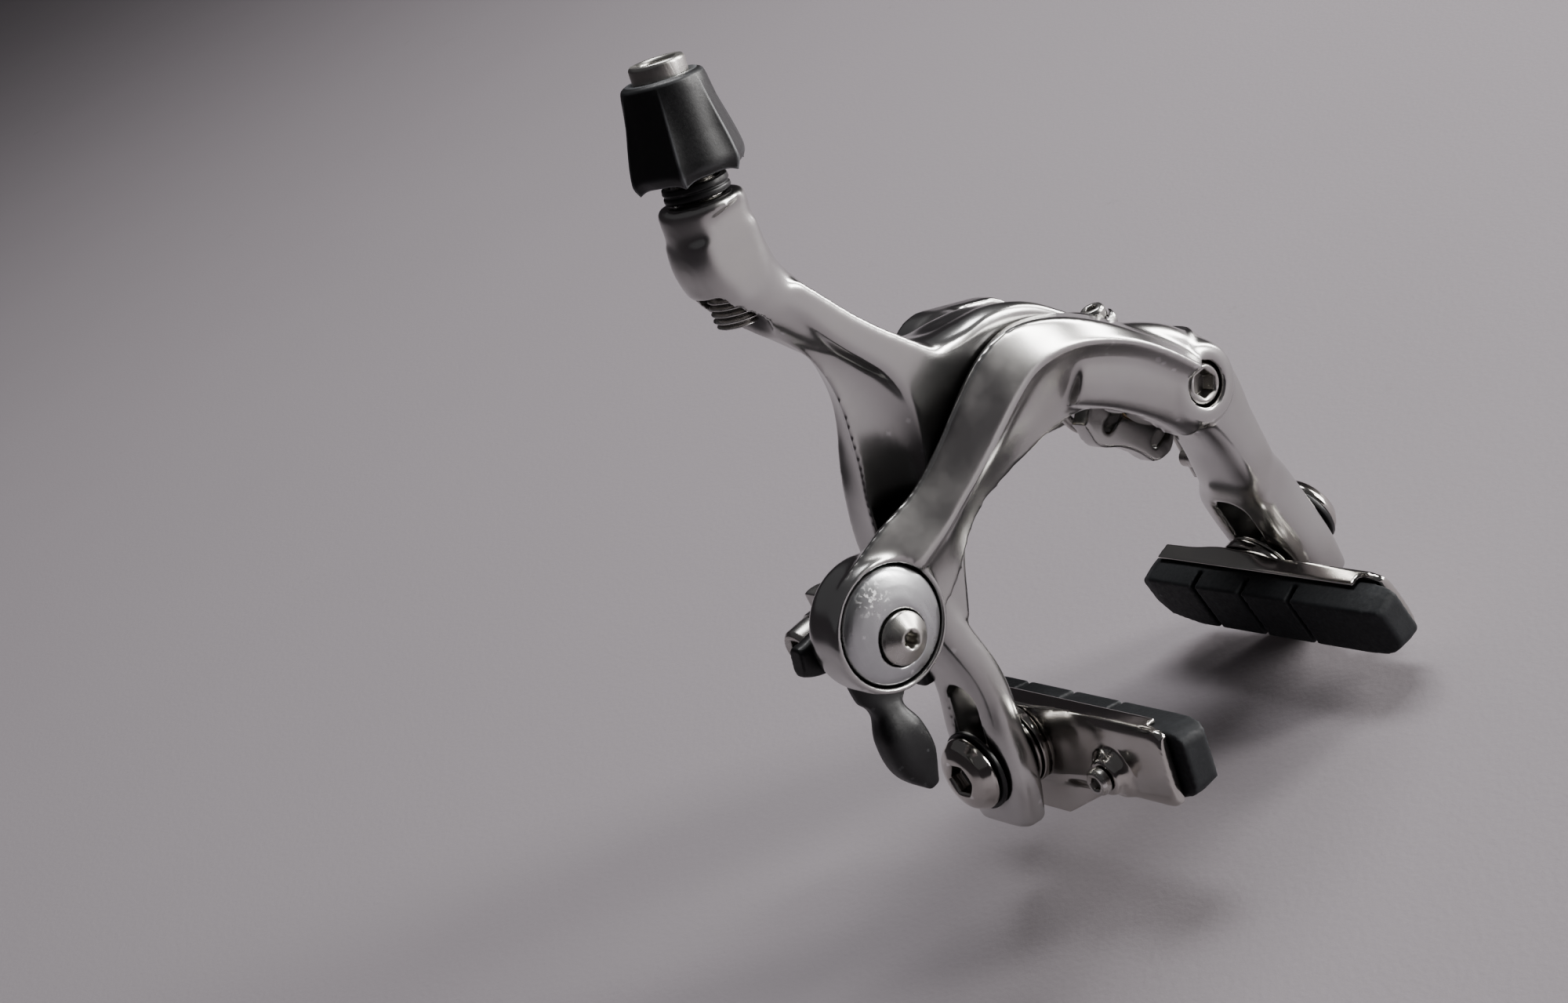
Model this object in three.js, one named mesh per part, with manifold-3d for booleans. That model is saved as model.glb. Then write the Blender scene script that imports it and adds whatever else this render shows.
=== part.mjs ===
// Dual-pivot rim brake caliper, millimetres, +Z up, +Y towards the fork crown.
// Origin: on the mounting bolt's axis, in the plane of the crown seat. Arms at rest, fully open.
import * as THREE from 'three';
import { mergeVertices } from 'three/addons/utils/BufferGeometryUtils.js';
import Module from 'manifold-3d';

const wasm = await Module();
wasm.setup();

// ---- driving dimensions ----
const gap = 0.3;                                   // clearance left between touching pieces
const side = { x: 28.1, z: -7.7 };                 // side pivot, on which the C-arm turns
const bolt = { r: 3, front: -17.2, end: 10 };      // centre mounting bolt
const sideBolt = { r: 2.6, headR: 3.3, front: -37, head: 3.5, end: -8 };
const hub = { front: -13, back: -6.7, r: 7.2 };    // Y-arm hub on the mounting bolt
const band = { front: -38.5, back: -31 };          // C-arm band, in front of the Y-arm
const boss = { x: -41.9, z: -1.5, r: 10.2, front: -39.4, back: -31 };
const cap = { r: 8.8, depth: 2.6 };                // disc let into the boss's front face
const spindle = { x: -42, z: -3.4 };               // cover screw and quick-release spindle
const clamp = { x: -42.9, y: -23.1, r: 2.4 };      // face that grips the cable, and its bolt
const link = { x: 22.6, y: -25.9, z: -0.1 };       // centring screw's tip, under the Y-arm's tail
const centring = { r: 1.6, seat: 7.6, headR: 2.1 };
const tension = { x: 32.5, z: -26.5, r: 1.6 };     // spring tension screw, through the C-arm's leg
const lean = 12.2;                                 // barrel's lean with the arms open, degrees
const barrel = { x: -29.4, y: -26.3, z: 63.3, r: 3.5, tail: 19, top: 20 };
const openAngle = 10.6;                            // shoe faces tilt by this much when open, degrees
const pad = { length: 55, height: 11.5, depth: 6.3, toFront: 8.3 };   // toFront: bolt to middle
const slot = { r: 3.3, travel: 11 };               // slot in each leg for the shoe's bolt
// each shoe: bolt axis at the holder's back, and the leg's inner face, outer face and half width
const nearShoe = { sign: 1, x: -22.2, y: -25.2, z: -40.2, legIn: 5.2, legOut: 11.4, legHalf: 6 };
const farShoe = { sign: -1, x: 29.3, y: -22.8, z: -50, legIn: 5.2, legOut: 15.6, legHalf: 8.4 };

// ---- colours ----
const looks = {
  satin: { color: 0xb9b8b4, roughness: 0.33, metalness: 1.0 },
  chrome: { color: 0xd2d0cb, roughness: 0.14, metalness: 1.0 },
  steel: { color: 0xa8a7a3, roughness: 0.38, metalness: 1.0 },
  brass: { color: 0xb08d4c, roughness: 0.4, metalness: 1.0 },
  black: { color: 0x1b1c1f, roughness: 0.55, metalness: 0.0 },
  rubber: { color: 0x24272b, roughness: 0.85, metalness: 0.0 },
};

// ---- helpers ----
const model = new THREE.Group();
const unit = (x, y, z) => new THREE.Vector3(x, y, z).normalize();
const rad = THREE.MathUtils.degToRad;
const yAxis = unit(0, 1, 0);
const zAxis = unit(0, 0, 1);
const barrelAxis = unit(Math.sin(rad(lean)), 0, Math.cos(rad(lean)));

// a closed geometry as a solid that can be joined and cut, with its faces pointing out
function solid(geometry) {
  const bare = new THREE.BufferGeometry();
  bare.setAttribute('position', geometry.getAttribute('position').clone());
  if (geometry.index) bare.setIndex(geometry.index.clone());
  const merged = mergeVertices(bare, 1e-4);
  const vertProperties = new Float32Array(merged.getAttribute('position').array);
  const corner = (i) => new THREE.Vector3().fromArray(vertProperties, 3 * i);
  const faces = [];
  let volume = 0;
  for (let k = 0; k < merged.index.count; k += 3) {
    const [a, b, c] = [0, 1, 2].map((step) => merged.index.getX(k + step));
    if (a !== b && b !== c && c !== a) {
      faces.push([a, b, c]);
      volume += corner(a).dot(corner(b).cross(corner(c)));
    }
  }
  const triVerts = new Uint32Array(faces.flatMap((f) => (volume < 0 ? f.reverse() : f)));
  return new wasm.Manifold(new wasm.Mesh({ numProp: 3, vertProperties, triVerts }));
}

function join(pieces) {
  return pieces.slice(1).reduce((sum, piece) => sum.add(piece), pieces[0]);
}

function cut(body, tools) {
  return tools.reduce((left, tool) => left.subtract(tool), body);
}

// names a piece, gives it its look and adds it to the model
function add(name, shape, look) {
  const mesh = (shape.isBufferGeometry ? solid(shape) : shape).getMesh();
  const geometry = new THREE.BufferGeometry();
  geometry.setAttribute('position', new THREE.BufferAttribute(new Float32Array(mesh.vertProperties), 3));
  geometry.setIndex(new THREE.BufferAttribute(new Uint32Array(mesh.triVerts), 1));
  geometry.computeVertexNormals();
  const part = new THREE.Mesh(geometry, new THREE.MeshStandardMaterial(looks[look]));
  part.name = name;
  model.add(part);
}

// stands a geometry built along +Y on a point, turned so that +Y follows the given axis
function place(geometry, at, axis = yAxis) {
  geometry.applyQuaternion(new THREE.Quaternion().setFromUnitVectors(yAxis, axis));
  return geometry.translate(at[0], at[1], at[2]);
}

// turned piece: profile of [radius, height], closed on itself or on the axis
function turned(profile, at = [0, 0, 0], axis = yAxis, segments = 16) {
  const points = profile.map(([r, h]) => new THREE.Vector2(r, h));
  return place(new THREE.LatheGeometry(points, segments), at, axis);
}

const rod = (r, from, to, at, axis, segments) =>
  turned([[0, from], [r, from], [r, to], [0, to]], at, axis, segments);

const ring = (inner, outer, from, to, at, axis, segments) =>
  turned([[inner, from], [outer, from], [outer, to], [inner, to], [inner, from]], at, axis, segments);

const hexRod = (r, from, to, at, axis) => rod(r, from, to, at, axis, 6);

// a flat outline in x and z, given thickness from one y to another
function plate(shape, front, back, curveSegments = 6) {
  const depth = back - front;
  const geometry = new THREE.ExtrudeGeometry(shape, { depth, bevelEnabled: false, curveSegments });
  geometry.rotateX(Math.PI / 2);
  return geometry.translate(0, back, 0);
}

// the outline round two discs of different size
function capsule(a, b) {
  const along = Math.atan2(b.z - a.z, b.x - a.x);
  const spread = Math.acos((a.r - b.r) / Math.hypot(b.x - a.x, b.z - a.z));
  const shape = new THREE.Shape();
  shape.absarc(a.x, a.z, a.r, along + spread, along - spread + 2 * Math.PI, false);
  shape.absarc(b.x, b.z, b.r, along - spread, along + spread, false);
  return shape;
}

// a bar of rounded-box sections: stations [x, y, z, half width across, half width in y]
function bar(stations, steps = 14, sides = 16, power = 3) {
  const centre = new THREE.CatmullRomCurve3(stations.map((s) => new THREE.Vector3(s[0], s[1], s[2])));
  const sizes = new THREE.CatmullRomCurve3(stations.map((s) => new THREE.Vector3(s[3], s[4], 0)));
  const positions = [];
  const index = [];
  const round = (c) => Math.sign(c) * Math.abs(c) ** (2 / power);
  for (let i = 0; i <= steps; i += 1) {
    const t = i / steps;
    const p = centre.getPoint(t);
    const along = centre.getTangent(t);
    const across = new THREE.Vector3().crossVectors(yAxis, along).normalize();
    const size = sizes.getPoint(t);
    for (let j = 0; j < sides; j += 1) {
      const turn = (2 * Math.PI * (j + 0.5)) / sides;
      const q = p.clone().addScaledVector(across, size.x * round(Math.cos(turn)));
      q.y += size.y * round(Math.sin(turn));
      positions.push(q.x, q.y, q.z);
    }
  }
  for (let i = 0; i < steps; i += 1) {
    for (let j = 0; j < sides; j += 1) {
      const a = i * sides + j;
      const b = i * sides + ((j + 1) % sides);
      index.push(a, b, b + sides, a, b + sides, a + sides);
    }
  }
  const last = steps * sides;
  for (let j = 1; j < sides - 1; j += 1) {
    index.push(0, j + 1, j);
    index.push(last, last + j, last + j + 1);
  }
  const geometry = new THREE.BufferGeometry();
  geometry.setAttribute('position', new THREE.BufferAttribute(new Float32Array(positions), 3));
  geometry.setIndex(index);
  return geometry;
}

// ---- shoe frames: a point at depth t out of the holder's back, h up the slot ----
function shoeFrame(shoe) {
  const tilt = rad(openAngle);
  const toRim = unit(shoe.sign * Math.cos(tilt), 0, -Math.sin(tilt));
  const up = unit(shoe.sign * Math.sin(tilt), 0, Math.cos(tilt));
  const at = (t, y, h) => [
    shoe.x + t * toRim.x + h * up.x, y, shoe.z + t * toRim.z + h * up.z,
  ];
  return { toRim, up, at };
}

// a slot along the leg, cut through it towards the rim
function slotCut(shoe) {
  const { toRim, up, at } = shoeFrame(shoe);
  const shape = new THREE.Shape();
  shape.absarc(0, 0, slot.r, Math.PI, 2 * Math.PI, false);
  shape.absarc(0, slot.travel, slot.r, 0, Math.PI, false);
  const through = { depth: 30, bevelEnabled: false, curveSegments: 8 };
  const geometry = new THREE.ExtrudeGeometry(shape, through);
  const across = new THREE.Vector3().crossVectors(up, toRim);
  geometry.applyMatrix4(new THREE.Matrix4().makeBasis(across, up, toRim));
  const [x, y, z] = at(-20, shoe.y, 0);
  return solid(geometry.translate(x, y, z));
}

// ---- C-arm: cable boss, band, shoulder and leg ----
function cArm() {
  const bandMid = (band.front + band.back) / 2;
  const bandHalf = (band.back - band.front) / 2;
  const { at } = shoeFrame(farShoe);
  const legMid = -(farShoe.legIn + farShoe.legOut) / 2;
  const legHalf = (farShoe.legOut - farShoe.legIn) / 2;
  const lower = (h) => at(legMid, farShoe.y, h);
  const arch = bar([
    [boss.x, bandMid, boss.z, 8.5, bandHalf], [-33, bandMid, 4, 6.8, bandHalf],
    [-23, bandMid, 7.8, 6.2, bandHalf], [-11.5, bandMid, 12.5, 7.6, bandHalf],
    [2, bandMid, 12.2, 8.7, bandHalf], [15, bandMid, 5.4, 8.2, bandHalf],
    [25.6, bandMid + 1.1, -5.6, 7.4, bandHalf + 1.1],
  ], 15, 12);
  const leg = bar([
    [27, -31, -4.5, 6.6, 5.5], [30.4, -30, -14.5, 5.6, 7], [33.2, -27.4, -25.5, 4.8, 7.2],
    [...lower(13), legHalf, farShoe.legHalf], [...lower(0), legHalf, farShoe.legHalf],
    [...lower(-8.5), legHalf - 0.4, farShoe.legHalf - 0.8],
  ], 11, 12);
  const shoulder = solid(rod(7.2, -37.6, -22.7, [side.x, 0, side.z], yAxis, 28));
  const cableBoss = solid(rod(boss.r, boss.front, boss.back, [boss.x, 0, boss.z], yAxis, 36));
  const ledge = solid(bar([
    [17, -27.5, -3.5, 2.5, 3], [21, -27.5, -4.5, 3.5, 3], [27, -27.5, -6.5, 4, 3],
  ], 4, 12));
  const body = join([solid(arch), solid(leg), shoulder, cableBoss, ledge]);
  const capSeat = solid(rod(cap.r + gap, -50, boss.front + cap.depth, [boss.x, 0, boss.z], yAxis, 32));
  const spindleBore = solid(rod(4.1, -50, -20, [spindle.x, 0, spindle.z], yAxis, 24));
  const pivotBore = solid(rod(4.5, -33.2, -20, [side.x, 0, side.z], yAxis, 24));
  const counterbore = solid(rod(sideBolt.headR + gap, -50, -33, [side.x, 0, side.z], yAxis, 24));
  const screwBore = solid(rod(tension.r + gap, -27, 0, [tension.x, 0, tension.z], yAxis, 12));
  return cut(body, [capSeat, spindleBore, pivotBore, counterbore, screwBore, slotCut(farShoe)]);
}

// ---- Y-arm: barrel boss, upper limb, hub, tail and leg ----
function yArm() {
  const { at } = shoeFrame(nearShoe);
  const legMid = -(nearShoe.legIn + nearShoe.legOut) / 2;
  const legHalf = (nearShoe.legOut - nearShoe.legIn) / 2;
  const lower = (h) => at(legMid, nearShoe.y, h);
  const alongBarrel = (d) => [barrel.x + d * barrelAxis.x, barrel.y, barrel.z + d * barrelAxis.z];
  const barrelBoss = solid(turned(
    [[0, -15], [5.2, -15], [6.3, -8], [6.5, -1], [5.9, 0], [0, 0]], alongBarrel(0), barrelAxis, 24));
  const upper = bar([
    [...alongBarrel(-9), 5.6, 5.6], [-31.4, -26.2, 49, 5.6, 5.6], [-24.5, -25.6, 39, 4.9, 5.4],
    [-20, -24.6, 28.5, 6.5, 5.6], [-11, -23.2, 17, 8.5, 6.8], [1, -21, 8.5, 9.5, 8.5],
  ], 11, 12, 2.6);
  const leg = bar([
    [-8, -23.2, 15, 8, 6.8], [-17.5, -24, 13, 7.6, 6.2], [-24.6, -24.6, 3.5, 5.6, 6],
    [-28.6, -25, -10.5, 3.4, 6], [...lower(15), legHalf, nearShoe.legHalf],
    [...lower(0), legHalf, nearShoe.legHalf], [...lower(-9.6), legHalf - 0.3, nearShoe.legHalf - 0.6],
  ], 13, 12, 2.8);
  const tail = bar([
    [-4, -23.5, 13.5, 6, 6.6], [8, -25, 12, 5.2, 5.2], [16, -25.8, 8.9, 3.8, 4],
    [24.5, -25.6, 5.9, 2.8, 3.2],
  ], 8, 12, 2.6);
  const hubShell = solid(rod(hub.r, hub.front, hub.back, [0, 0, 0], yAxis, 28));
  const crest = { x: 2.6, z: 13.6, r: 7.5 };
  const webBack = hub.back - 1.6;                  // leaves room for the spring behind it
  const webs = [
    plate(capsule({ x: 0, z: 0, r: 7 }, crest), hub.front, webBack),
    plate(capsule(crest, { x: 12.5, z: 11, r: 6.2 }), hub.front, webBack),
  ];
  const neck = rod(5.6, -22, -10, [4.4, 0, 13], yAxis, 16);
  const limbs = [upper, leg, tail, neck, ...webs].map(solid);
  const body = join([barrelBoss, hubShell, ...limbs]);
  const centreBore = solid(rod(4.9, -16, 0, [0, 0, 0], yAxis, 24));
  const nutRoom = solid(rod(6.6, -40, hub.front, [0, 0, 0], yAxis, 24));
  const barrelBore = solid(rod(barrel.r + gap, -40, 5, alongBarrel(0), barrelAxis, 20));
  const [tubeX, tubeY, tubeZ] = alongBarrel(0);
  const tubeRoom = join([0, -3, -6].map((step) =>
    solid(rod(4.3, -30, -13.6, [tubeX + step, tubeY, tubeZ], barrelAxis, 16))));
  const screwBore = solid(rod(centring.r + gap, 0, 30, [link.x, link.y, link.z], zAxis, 12));
  const screwSeat = solid(rod(2.6, centring.seat, 30, [link.x, link.y, link.z], zAxis, 14));
  const tools = [nutRoom, centreBore, barrelBore, tubeRoom, screwBore, screwSeat, slotCut(nearShoe)];
  return cut(body, tools);
}

// ---- bracket that ties the two pivots together ----
function bridge() {
  const eye = { x: 0, z: 0, r: 7.8 };
  const link = solid(plate(capsule(eye, { ...side, r: 7.4 }), -5.5, -1.8));
  const post = solid(rod(7, -21.5, -3, [side.x, 0, side.z], yAxis, 24));
  const lobes = [
    plate(capsule({ ...side, r: 8 }, { x: 20.6, z: -9.9, r: 5 }), -21.5, -18),
    plate(capsule({ ...side, r: 8 }, { x: 26.8, z: -18.1, r: 4.4 }), -21.5, -18),
  ];
  const slots = [[20.2, -10.6], [27.2, -18.4]].map(([x, z]) => {
    const outline = capsule({ x: x - 1.2, z: z + 0.3, r: 0.9 }, { x: x + 1.2, z: z - 0.3, r: 0.91 });
    return solid(plate(outline, -23, -16));
  });
  const body = join([link, post, ...lobes.map(solid)]);
  const boltHole = solid(rod(bolt.r + gap, -9, 2, [0, 0, 0], yAxis, 20));
  const threadHole = solid(rod(sideBolt.r + gap, -25, 2, [side.x, 0, side.z], yAxis, 20));
  return cut(body, [boltHole, threadHole, ...slots]);
}

// ---- return spring: a coil and a third round the bracket's post, with a leg to each arm ----
function returnSpring() {
  const coil = { r: 8.9, turns: 1.3, y: -12.4, pitch: 3.1, start: -8, steps: 20 };
  const points = [[37.4, -12.3, -34], [36.6, -12.6, -24]];
  for (let i = 0; i <= coil.steps; i += 1) {
    const done = (coil.turns * i) / coil.steps;
    const turn = rad(coil.start + 360 * done);
    const y = coil.y + coil.pitch * done;
    points.push([side.x + coil.r * Math.cos(turn), y, side.z + coil.r * Math.sin(turn)]);
  }
  points.push([10, -5.2, 9.2], [0, -4.6, 11], [-12, -6.5, 8]);
  points.push([-21, -11.5, -2], [-24.6, -13.2, -12], [-26.4, -13.4, -22]);
  const path = new THREE.CatmullRomCurve3(points.map((p) => new THREE.Vector3(...p)));
  const wire = new THREE.Shape();
  wire.absarc(0, 0, 0.9, 0, 2 * Math.PI, false);
  const settings = { steps: 64, extrudePath: path, bevelEnabled: false, curveSegments: 3 };
  return new THREE.ExtrudeGeometry(wire, settings);
}

// ---- plastic blocks that the spring's legs press on ----
function springBlocks() {
  const yBlock = bar([[-27.6, -17.2, -16, 2.4, 1.6], [-29, -17.2, -25, 2.4, 1.6]], 2, 12);
  add('y_spring_block', yBlock, 'black');
  add('c_spring_block', bar([[39.7, -12.2, -29, 1.1, 1.8], [41, -12.2, -36, 1.1, 1.8]], 2, 12), 'black');
}

// ---- quick release: spindle, cam plate and lever behind the cable boss ----
function leverShape() {
  const { x, z } = spindle;
  const arm = bar([
    [x - 0.8, -29.1, z - 4, 5.2, 1.5], [-43.9, -29.1, -13.5, 4, 1.6], [-44.8, -29.5, -17.5, 3.2, 2],
    [-44.8, -29.8, -24.5, 4, 3], [-44.2, -29.8, -32, 1.6, 1.6],
  ], 12, 12, 2.4);
  const eye = solid(rod(7.4, -30.7, -27.4, [x, 0, z], yAxis, 24));
  const wing = bar([
    [x - 1, -29.1, z + 1, 4.5, 1.5], [-50, -29.1, -1.9, 3.2, 1.6], [-53.5, -29.1, -0.9, 2.2, 1.6],
  ], 4, 12);
  const bore = solid(rod(4, -40, -20, [x, 0, z], yAxis, 24));
  return join([eye, solid(arm), solid(wing)]).subtract(bore);
}

// ---- one brake shoe: bolt, washers, holder, pad and its screw ----
function shoeParts(name, shoe) {
  const { toRim, up, at } = shoeFrame(shoe);
  const origin = at(0, shoe.y, 0);
  const outer = -shoe.legOut;
  const half = pad.length / 2;
  const high = pad.height / 2;
  const centre = at(0, shoe.y - pad.toFront, 0);
  const screwAt = at(0, shoe.y - pad.toFront - 15.5, -2);
  const across = new THREE.Vector3().crossVectors(up, toRim);
  const front = -Math.sign(across.y);              // the side of the shoe that points forwards

  // a box from its depth, its distance forwards of the shoe's middle, and its height
  const block = ([x0, x1], [f0, f1], [z0, z1]) => {
    const geometry = new THREE.BoxGeometry(x1 - x0, f1 - f0, z1 - z0);
    geometry.translate((x0 + x1) / 2, (front * (f0 + f1)) / 2, (z0 + z1) / 2);
    geometry.applyMatrix4(new THREE.Matrix4().makeBasis(toRim, across, up));
    return solid(geometry.translate(...centre));
  };

  const boltShape = solid(turned([
    [0, -1.4], [2.9, -1.4], [2.9, outer - 1.4], [6.1, outer - 1.4], [6.1, outer - 2.1],
    [5.2, outer - 3.6], [3.6, outer - 4.3], [0, outer - 4.4],
  ], origin, toRim, 18));
  const socket = solid(hexRod(2.7, outer - 6, outer - 2.4, origin, toRim));
  add(`${name}_shoe_bolt`, boltShape.subtract(socket), 'chrome');
  add(`${name}_head_washer`, ring(3.2, 6.6, outer - 1.1, outer - gap, origin, toRim, 18), 'black');
  add(`${name}_convex_washer`, turned([
    [3.2, -4.9], [6.6, -4.9], [6.6, -4.3], [3.2, -3.6], [3.2, -4.9],
  ], origin, toRim, 18), 'chrome');
  add(`${name}_concave_washer`, turned([
    [3.2, -3.2], [6.8, -3.95], [6.8, -2.4], [3.2, -2.4], [3.2, -3.2],
  ], origin, toRim, 18), 'chrome');

  const back = block([-2, 0], [-half + 2, half - 3], [-high - 0.9, high + 0.9]);
  const lips = [
    block([-1, 2], [-half + 2, half - 3], [high, high + 0.9]),
    block([-1, 2], [-half + 2, half - 3], [-high - 0.9, -high]),
  ];
  const fin = block([-1.9, -0.6], [half - 42, half - 21], [-high - 6.5, -high - 0.5]);
  const screwPost = solid(rod(2.7, -4.2, -1, screwAt, toRim, 16));
  const screwHole = solid(rod(1.5, -6, 3, screwAt, toRim, 12));
  const boltHole = solid(rod(3.2, -6, 3, origin, toRim, 20));
  add(`${name}_shoe_holder`, cut(join([back, ...lips, fin, screwPost]), [screwHole, boltHole]), 'chrome');

  const outline = new THREE.Shape();
  outline.moveTo(front * -half, -high + 4.5);
  outline.lineTo(front * -half, high - gap);
  outline.lineTo(front * (half - 4), high - gap);
  outline.quadraticCurveTo(front * half, high - 1, front * half, high - 5);
  outline.lineTo(front * (half - 2.5), -high + gap);
  outline.lineTo(front * (-half + 9), -high + gap);
  outline.quadraticCurveTo(front * (-half + 2), -high + 0.8, front * -half, -high + 4.5);
  const moulded = { depth: pad.depth - gap, bevelEnabled: false, curveSegments: 4 };
  const rubber = new THREE.ExtrudeGeometry(outline, moulded);
  rubber.applyMatrix4(new THREE.Matrix4().makeBasis(across, up, toRim));
  rubber.translate(...at(gap, shoe.y - pad.toFront, 0));
  const grooves = [-13.5, -2.5, 8.5].map((f) =>
    block([pad.depth - 1.9, pad.depth + 2], [f - 0.6, f + 0.6], [-10, 10]));
  add(`${name}_brake_pad`, cut(solid(rubber), grooves), 'rubber');

  const screw = solid(turned(
    [[0, -6.1], [1.8, -6], [2.2, -5.4], [2.2, -4.5], [1.2, -4.5], [1.2, 0], [0, 0]], screwAt, toRim, 16));
  const screwSocket = solid(hexRod(1.1, -7, -5.1, screwAt, toRim));
  add(`${name}_pad_screw`, screw.subtract(screwSocket), 'steel');
}

// ---- cable barrel: knob, threaded tube, ferrule and seal, built along the barrel's axis ----
function barrelParts() {
  const at = [barrel.x, barrel.y, barrel.z];
  const seal = ring(barrel.r + gap, 4.9, gap, 2.5, at, barrelAxis, 20);
  const tube = ring(2.2, barrel.r, -barrel.tail, 16.3, at, barrelAxis, 20);
  const knob = turned([
    [barrel.r + gap, 2.8], [8.2, 2.8], [8.9, 4], [8, 9], [6.7, 14], [6.1, 16.8], [5.4, 17.6],
    [4.4, 17.6], [4.4, 16.4], [barrel.r + gap, 16.4], [barrel.r + gap, 2.8],
  ], at, barrelAxis, 18);
  const ferrule = ring(2.5, 4.1, 16.7, barrel.top, at, barrelAxis, 20);
  add('adjuster_seal', seal, 'black');
  add('adjuster_tube', tube, 'steel');
  add('adjuster_knob', knob, 'black');
  add('adjuster_ferrule', ferrule, 'steel');
}

// ---- cable clamp and quick release on the cable boss ----
function cableClampParts() {
  const at = [spindle.x, 0, spindle.z];
  const capBlank = solid(turned([
    [0, boss.front + cap.depth - gap], [cap.r, boss.front + cap.depth - gap], [cap.r, boss.front],
    [cap.r - 0.6, boss.front - 0.5], [0, boss.front - 0.9],
  ], [boss.x, 0, boss.z], yAxis, 32));
  add('cover_cap', capBlank.subtract(solid(rod(4.3, -50, -30, at, yAxis, 24))), 'satin');
  const screw = solid(turned(
    [[0, -42.2], [1.8, -42.2], [4, -40.6], [4, -38], [2.4, -38], [2.4, -33], [0, -33]], at, yAxis, 24));
  add('cover_screw', screw.subtract(solid(hexRod(1.5, -44, -40.2, at, yAxis))), 'steel');
  const shaft = solid(rod(3.7, -36.4, -26.5, at, yAxis, 24));
  const block = solid(rod(6.2, -26.8, -20.5, at, yAxis, 24));
  const trim = solid(new THREE.BoxGeometry(20, 20, 30).translate(clamp.x - 10, -24, 0));
  const threadHole = solid(rod(clamp.r + gap, -8, 20, [clamp.x, clamp.y, spindle.z], unit(1, 0, 0), 16));
  const screwHole = solid(rod(2.7, -40, -32, at, yAxis, 16));
  add('clamp_spindle', cut(shaft.add(block), [trim, threadHole, screwHole]), 'steel');
  add('quick_release_lever', leverShape(), 'black');
  const anchor = [clamp.x, clamp.y, spindle.z];
  const left = unit(-1, 0, 0);
  add('cable_washer', ring(clamp.r + gap, 4, 0.9, 2, anchor, left, 20), 'steel');
  const anchorBolt = solid(turned([
    [0, -7], [clamp.r, -7], [clamp.r, 2.3], [3.8, 2.3], [3.8, 6], [3.3, 6.6], [0, 6.6],
  ], anchor, left, 20));
  add('cable_anchor_bolt', anchorBolt.subtract(solid(hexRod(2.6, 3.4, 9, anchor, left))), 'steel');
}

// ---- pivots, washers and small screws ----
function pivotParts() {
  const centre = [0, 0, 0];
  const sideAt = [side.x, 0, side.z];
  add('mounting_bolt', rod(bolt.r, bolt.front, bolt.end, centre, yAxis, 20), 'steel');
  const nut = solid(hexRod(4.6, -16.9, -14.1, centre, yAxis));
  add('centre_pivot_nut', nut.subtract(solid(rod(bolt.r + gap, -20, -10, centre, yAxis, 20))), 'steel');
  add('front_thrust_washer', ring(bolt.r + gap, 6, -13.8, -13.3, centre), 'brass');
  add('rear_thrust_washer', ring(bolt.r + gap, 6.6, -6.4, -5.8, centre), 'brass');
  add('centre_pivot_bush', ring(bolt.r + gap, 4.6, hub.front, hub.back, centre), 'brass');
  add('crown_washer', ring(bolt.r + gap, 8, -1.5, 0, centre, yAxis, 24), 'steel');
  const sleeve = solid(turned(
    [[0, 2], [4, 2], [4, 12], [5, 12.3], [5, 13.8], [0, 13.8]], centre, yAxis, 20));
  const sleeveBore = solid(rod(bolt.r + gap, -5, bolt.end + gap, centre, yAxis, 16));
  const sleeveSocket = solid(hexRod(2.9, bolt.end, 20, centre, yAxis));
  add('recessed_nut', cut(sleeve, [sleeveBore, sleeveSocket]), 'steel');
  const sideShape = solid(turned([
    [0, sideBolt.front], [sideBolt.headR, sideBolt.front],
    [sideBolt.headR, sideBolt.front + sideBolt.head], [sideBolt.r, sideBolt.front + sideBolt.head],
    [sideBolt.r, sideBolt.end], [0, sideBolt.end],
  ], sideAt));
  add('side_pivot_bolt', sideShape.subtract(solid(hexRod(2.3, -40, -34.6, sideAt))), 'steel');
  add('side_pivot_bush', ring(sideBolt.r + gap, 4.2, -32.9, -23, sideAt), 'brass');
  add('side_thrust_washer', ring(sideBolt.r + gap, 6.6, -22.4, -21.8, sideAt), 'brass');
  add('arm_bridge', bridge(), 'satin');
  add('return_spring', returnSpring(), 'steel');
  springBlocks();
  const linkAt = [link.x, link.y, link.z];
  const under = centring.seat + gap;               // the underside of the centring screw's head
  const screw = solid(turned([
    [0, 0], [centring.r, 0], [centring.r, under], [centring.headR, under],
    [centring.headR, under + 1.6], [centring.headR - 0.5, under + 2.2], [0, under + 2.2],
  ], linkAt, zAxis, 14));
  const socket = solid(hexRod(0.9, under + 0.8, under + 4, linkAt, zAxis));
  add('centring_screw', screw.subtract(socket), 'steel');
  add('spring_tension_screw', rod(tension.r, -26.7, -17.6, [tension.x, 0, tension.z], yAxis, 14), 'steel');
}

add('c_arm', cArm(), 'satin');
add('y_arm', yArm(), 'satin');
pivotParts();
cableClampParts();
barrelParts();
shoeParts('near', nearShoe);
shoeParts('far', farShoe);

export default model;
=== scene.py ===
# Dual-pivot rim brake caliper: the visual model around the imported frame.
# Shapes are worked out in millimetres and written in metres; front is -Y and up is +Z.
import math
import bmesh
import bpy
import numpy as np
from mathutils import Matrix, Vector


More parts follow.
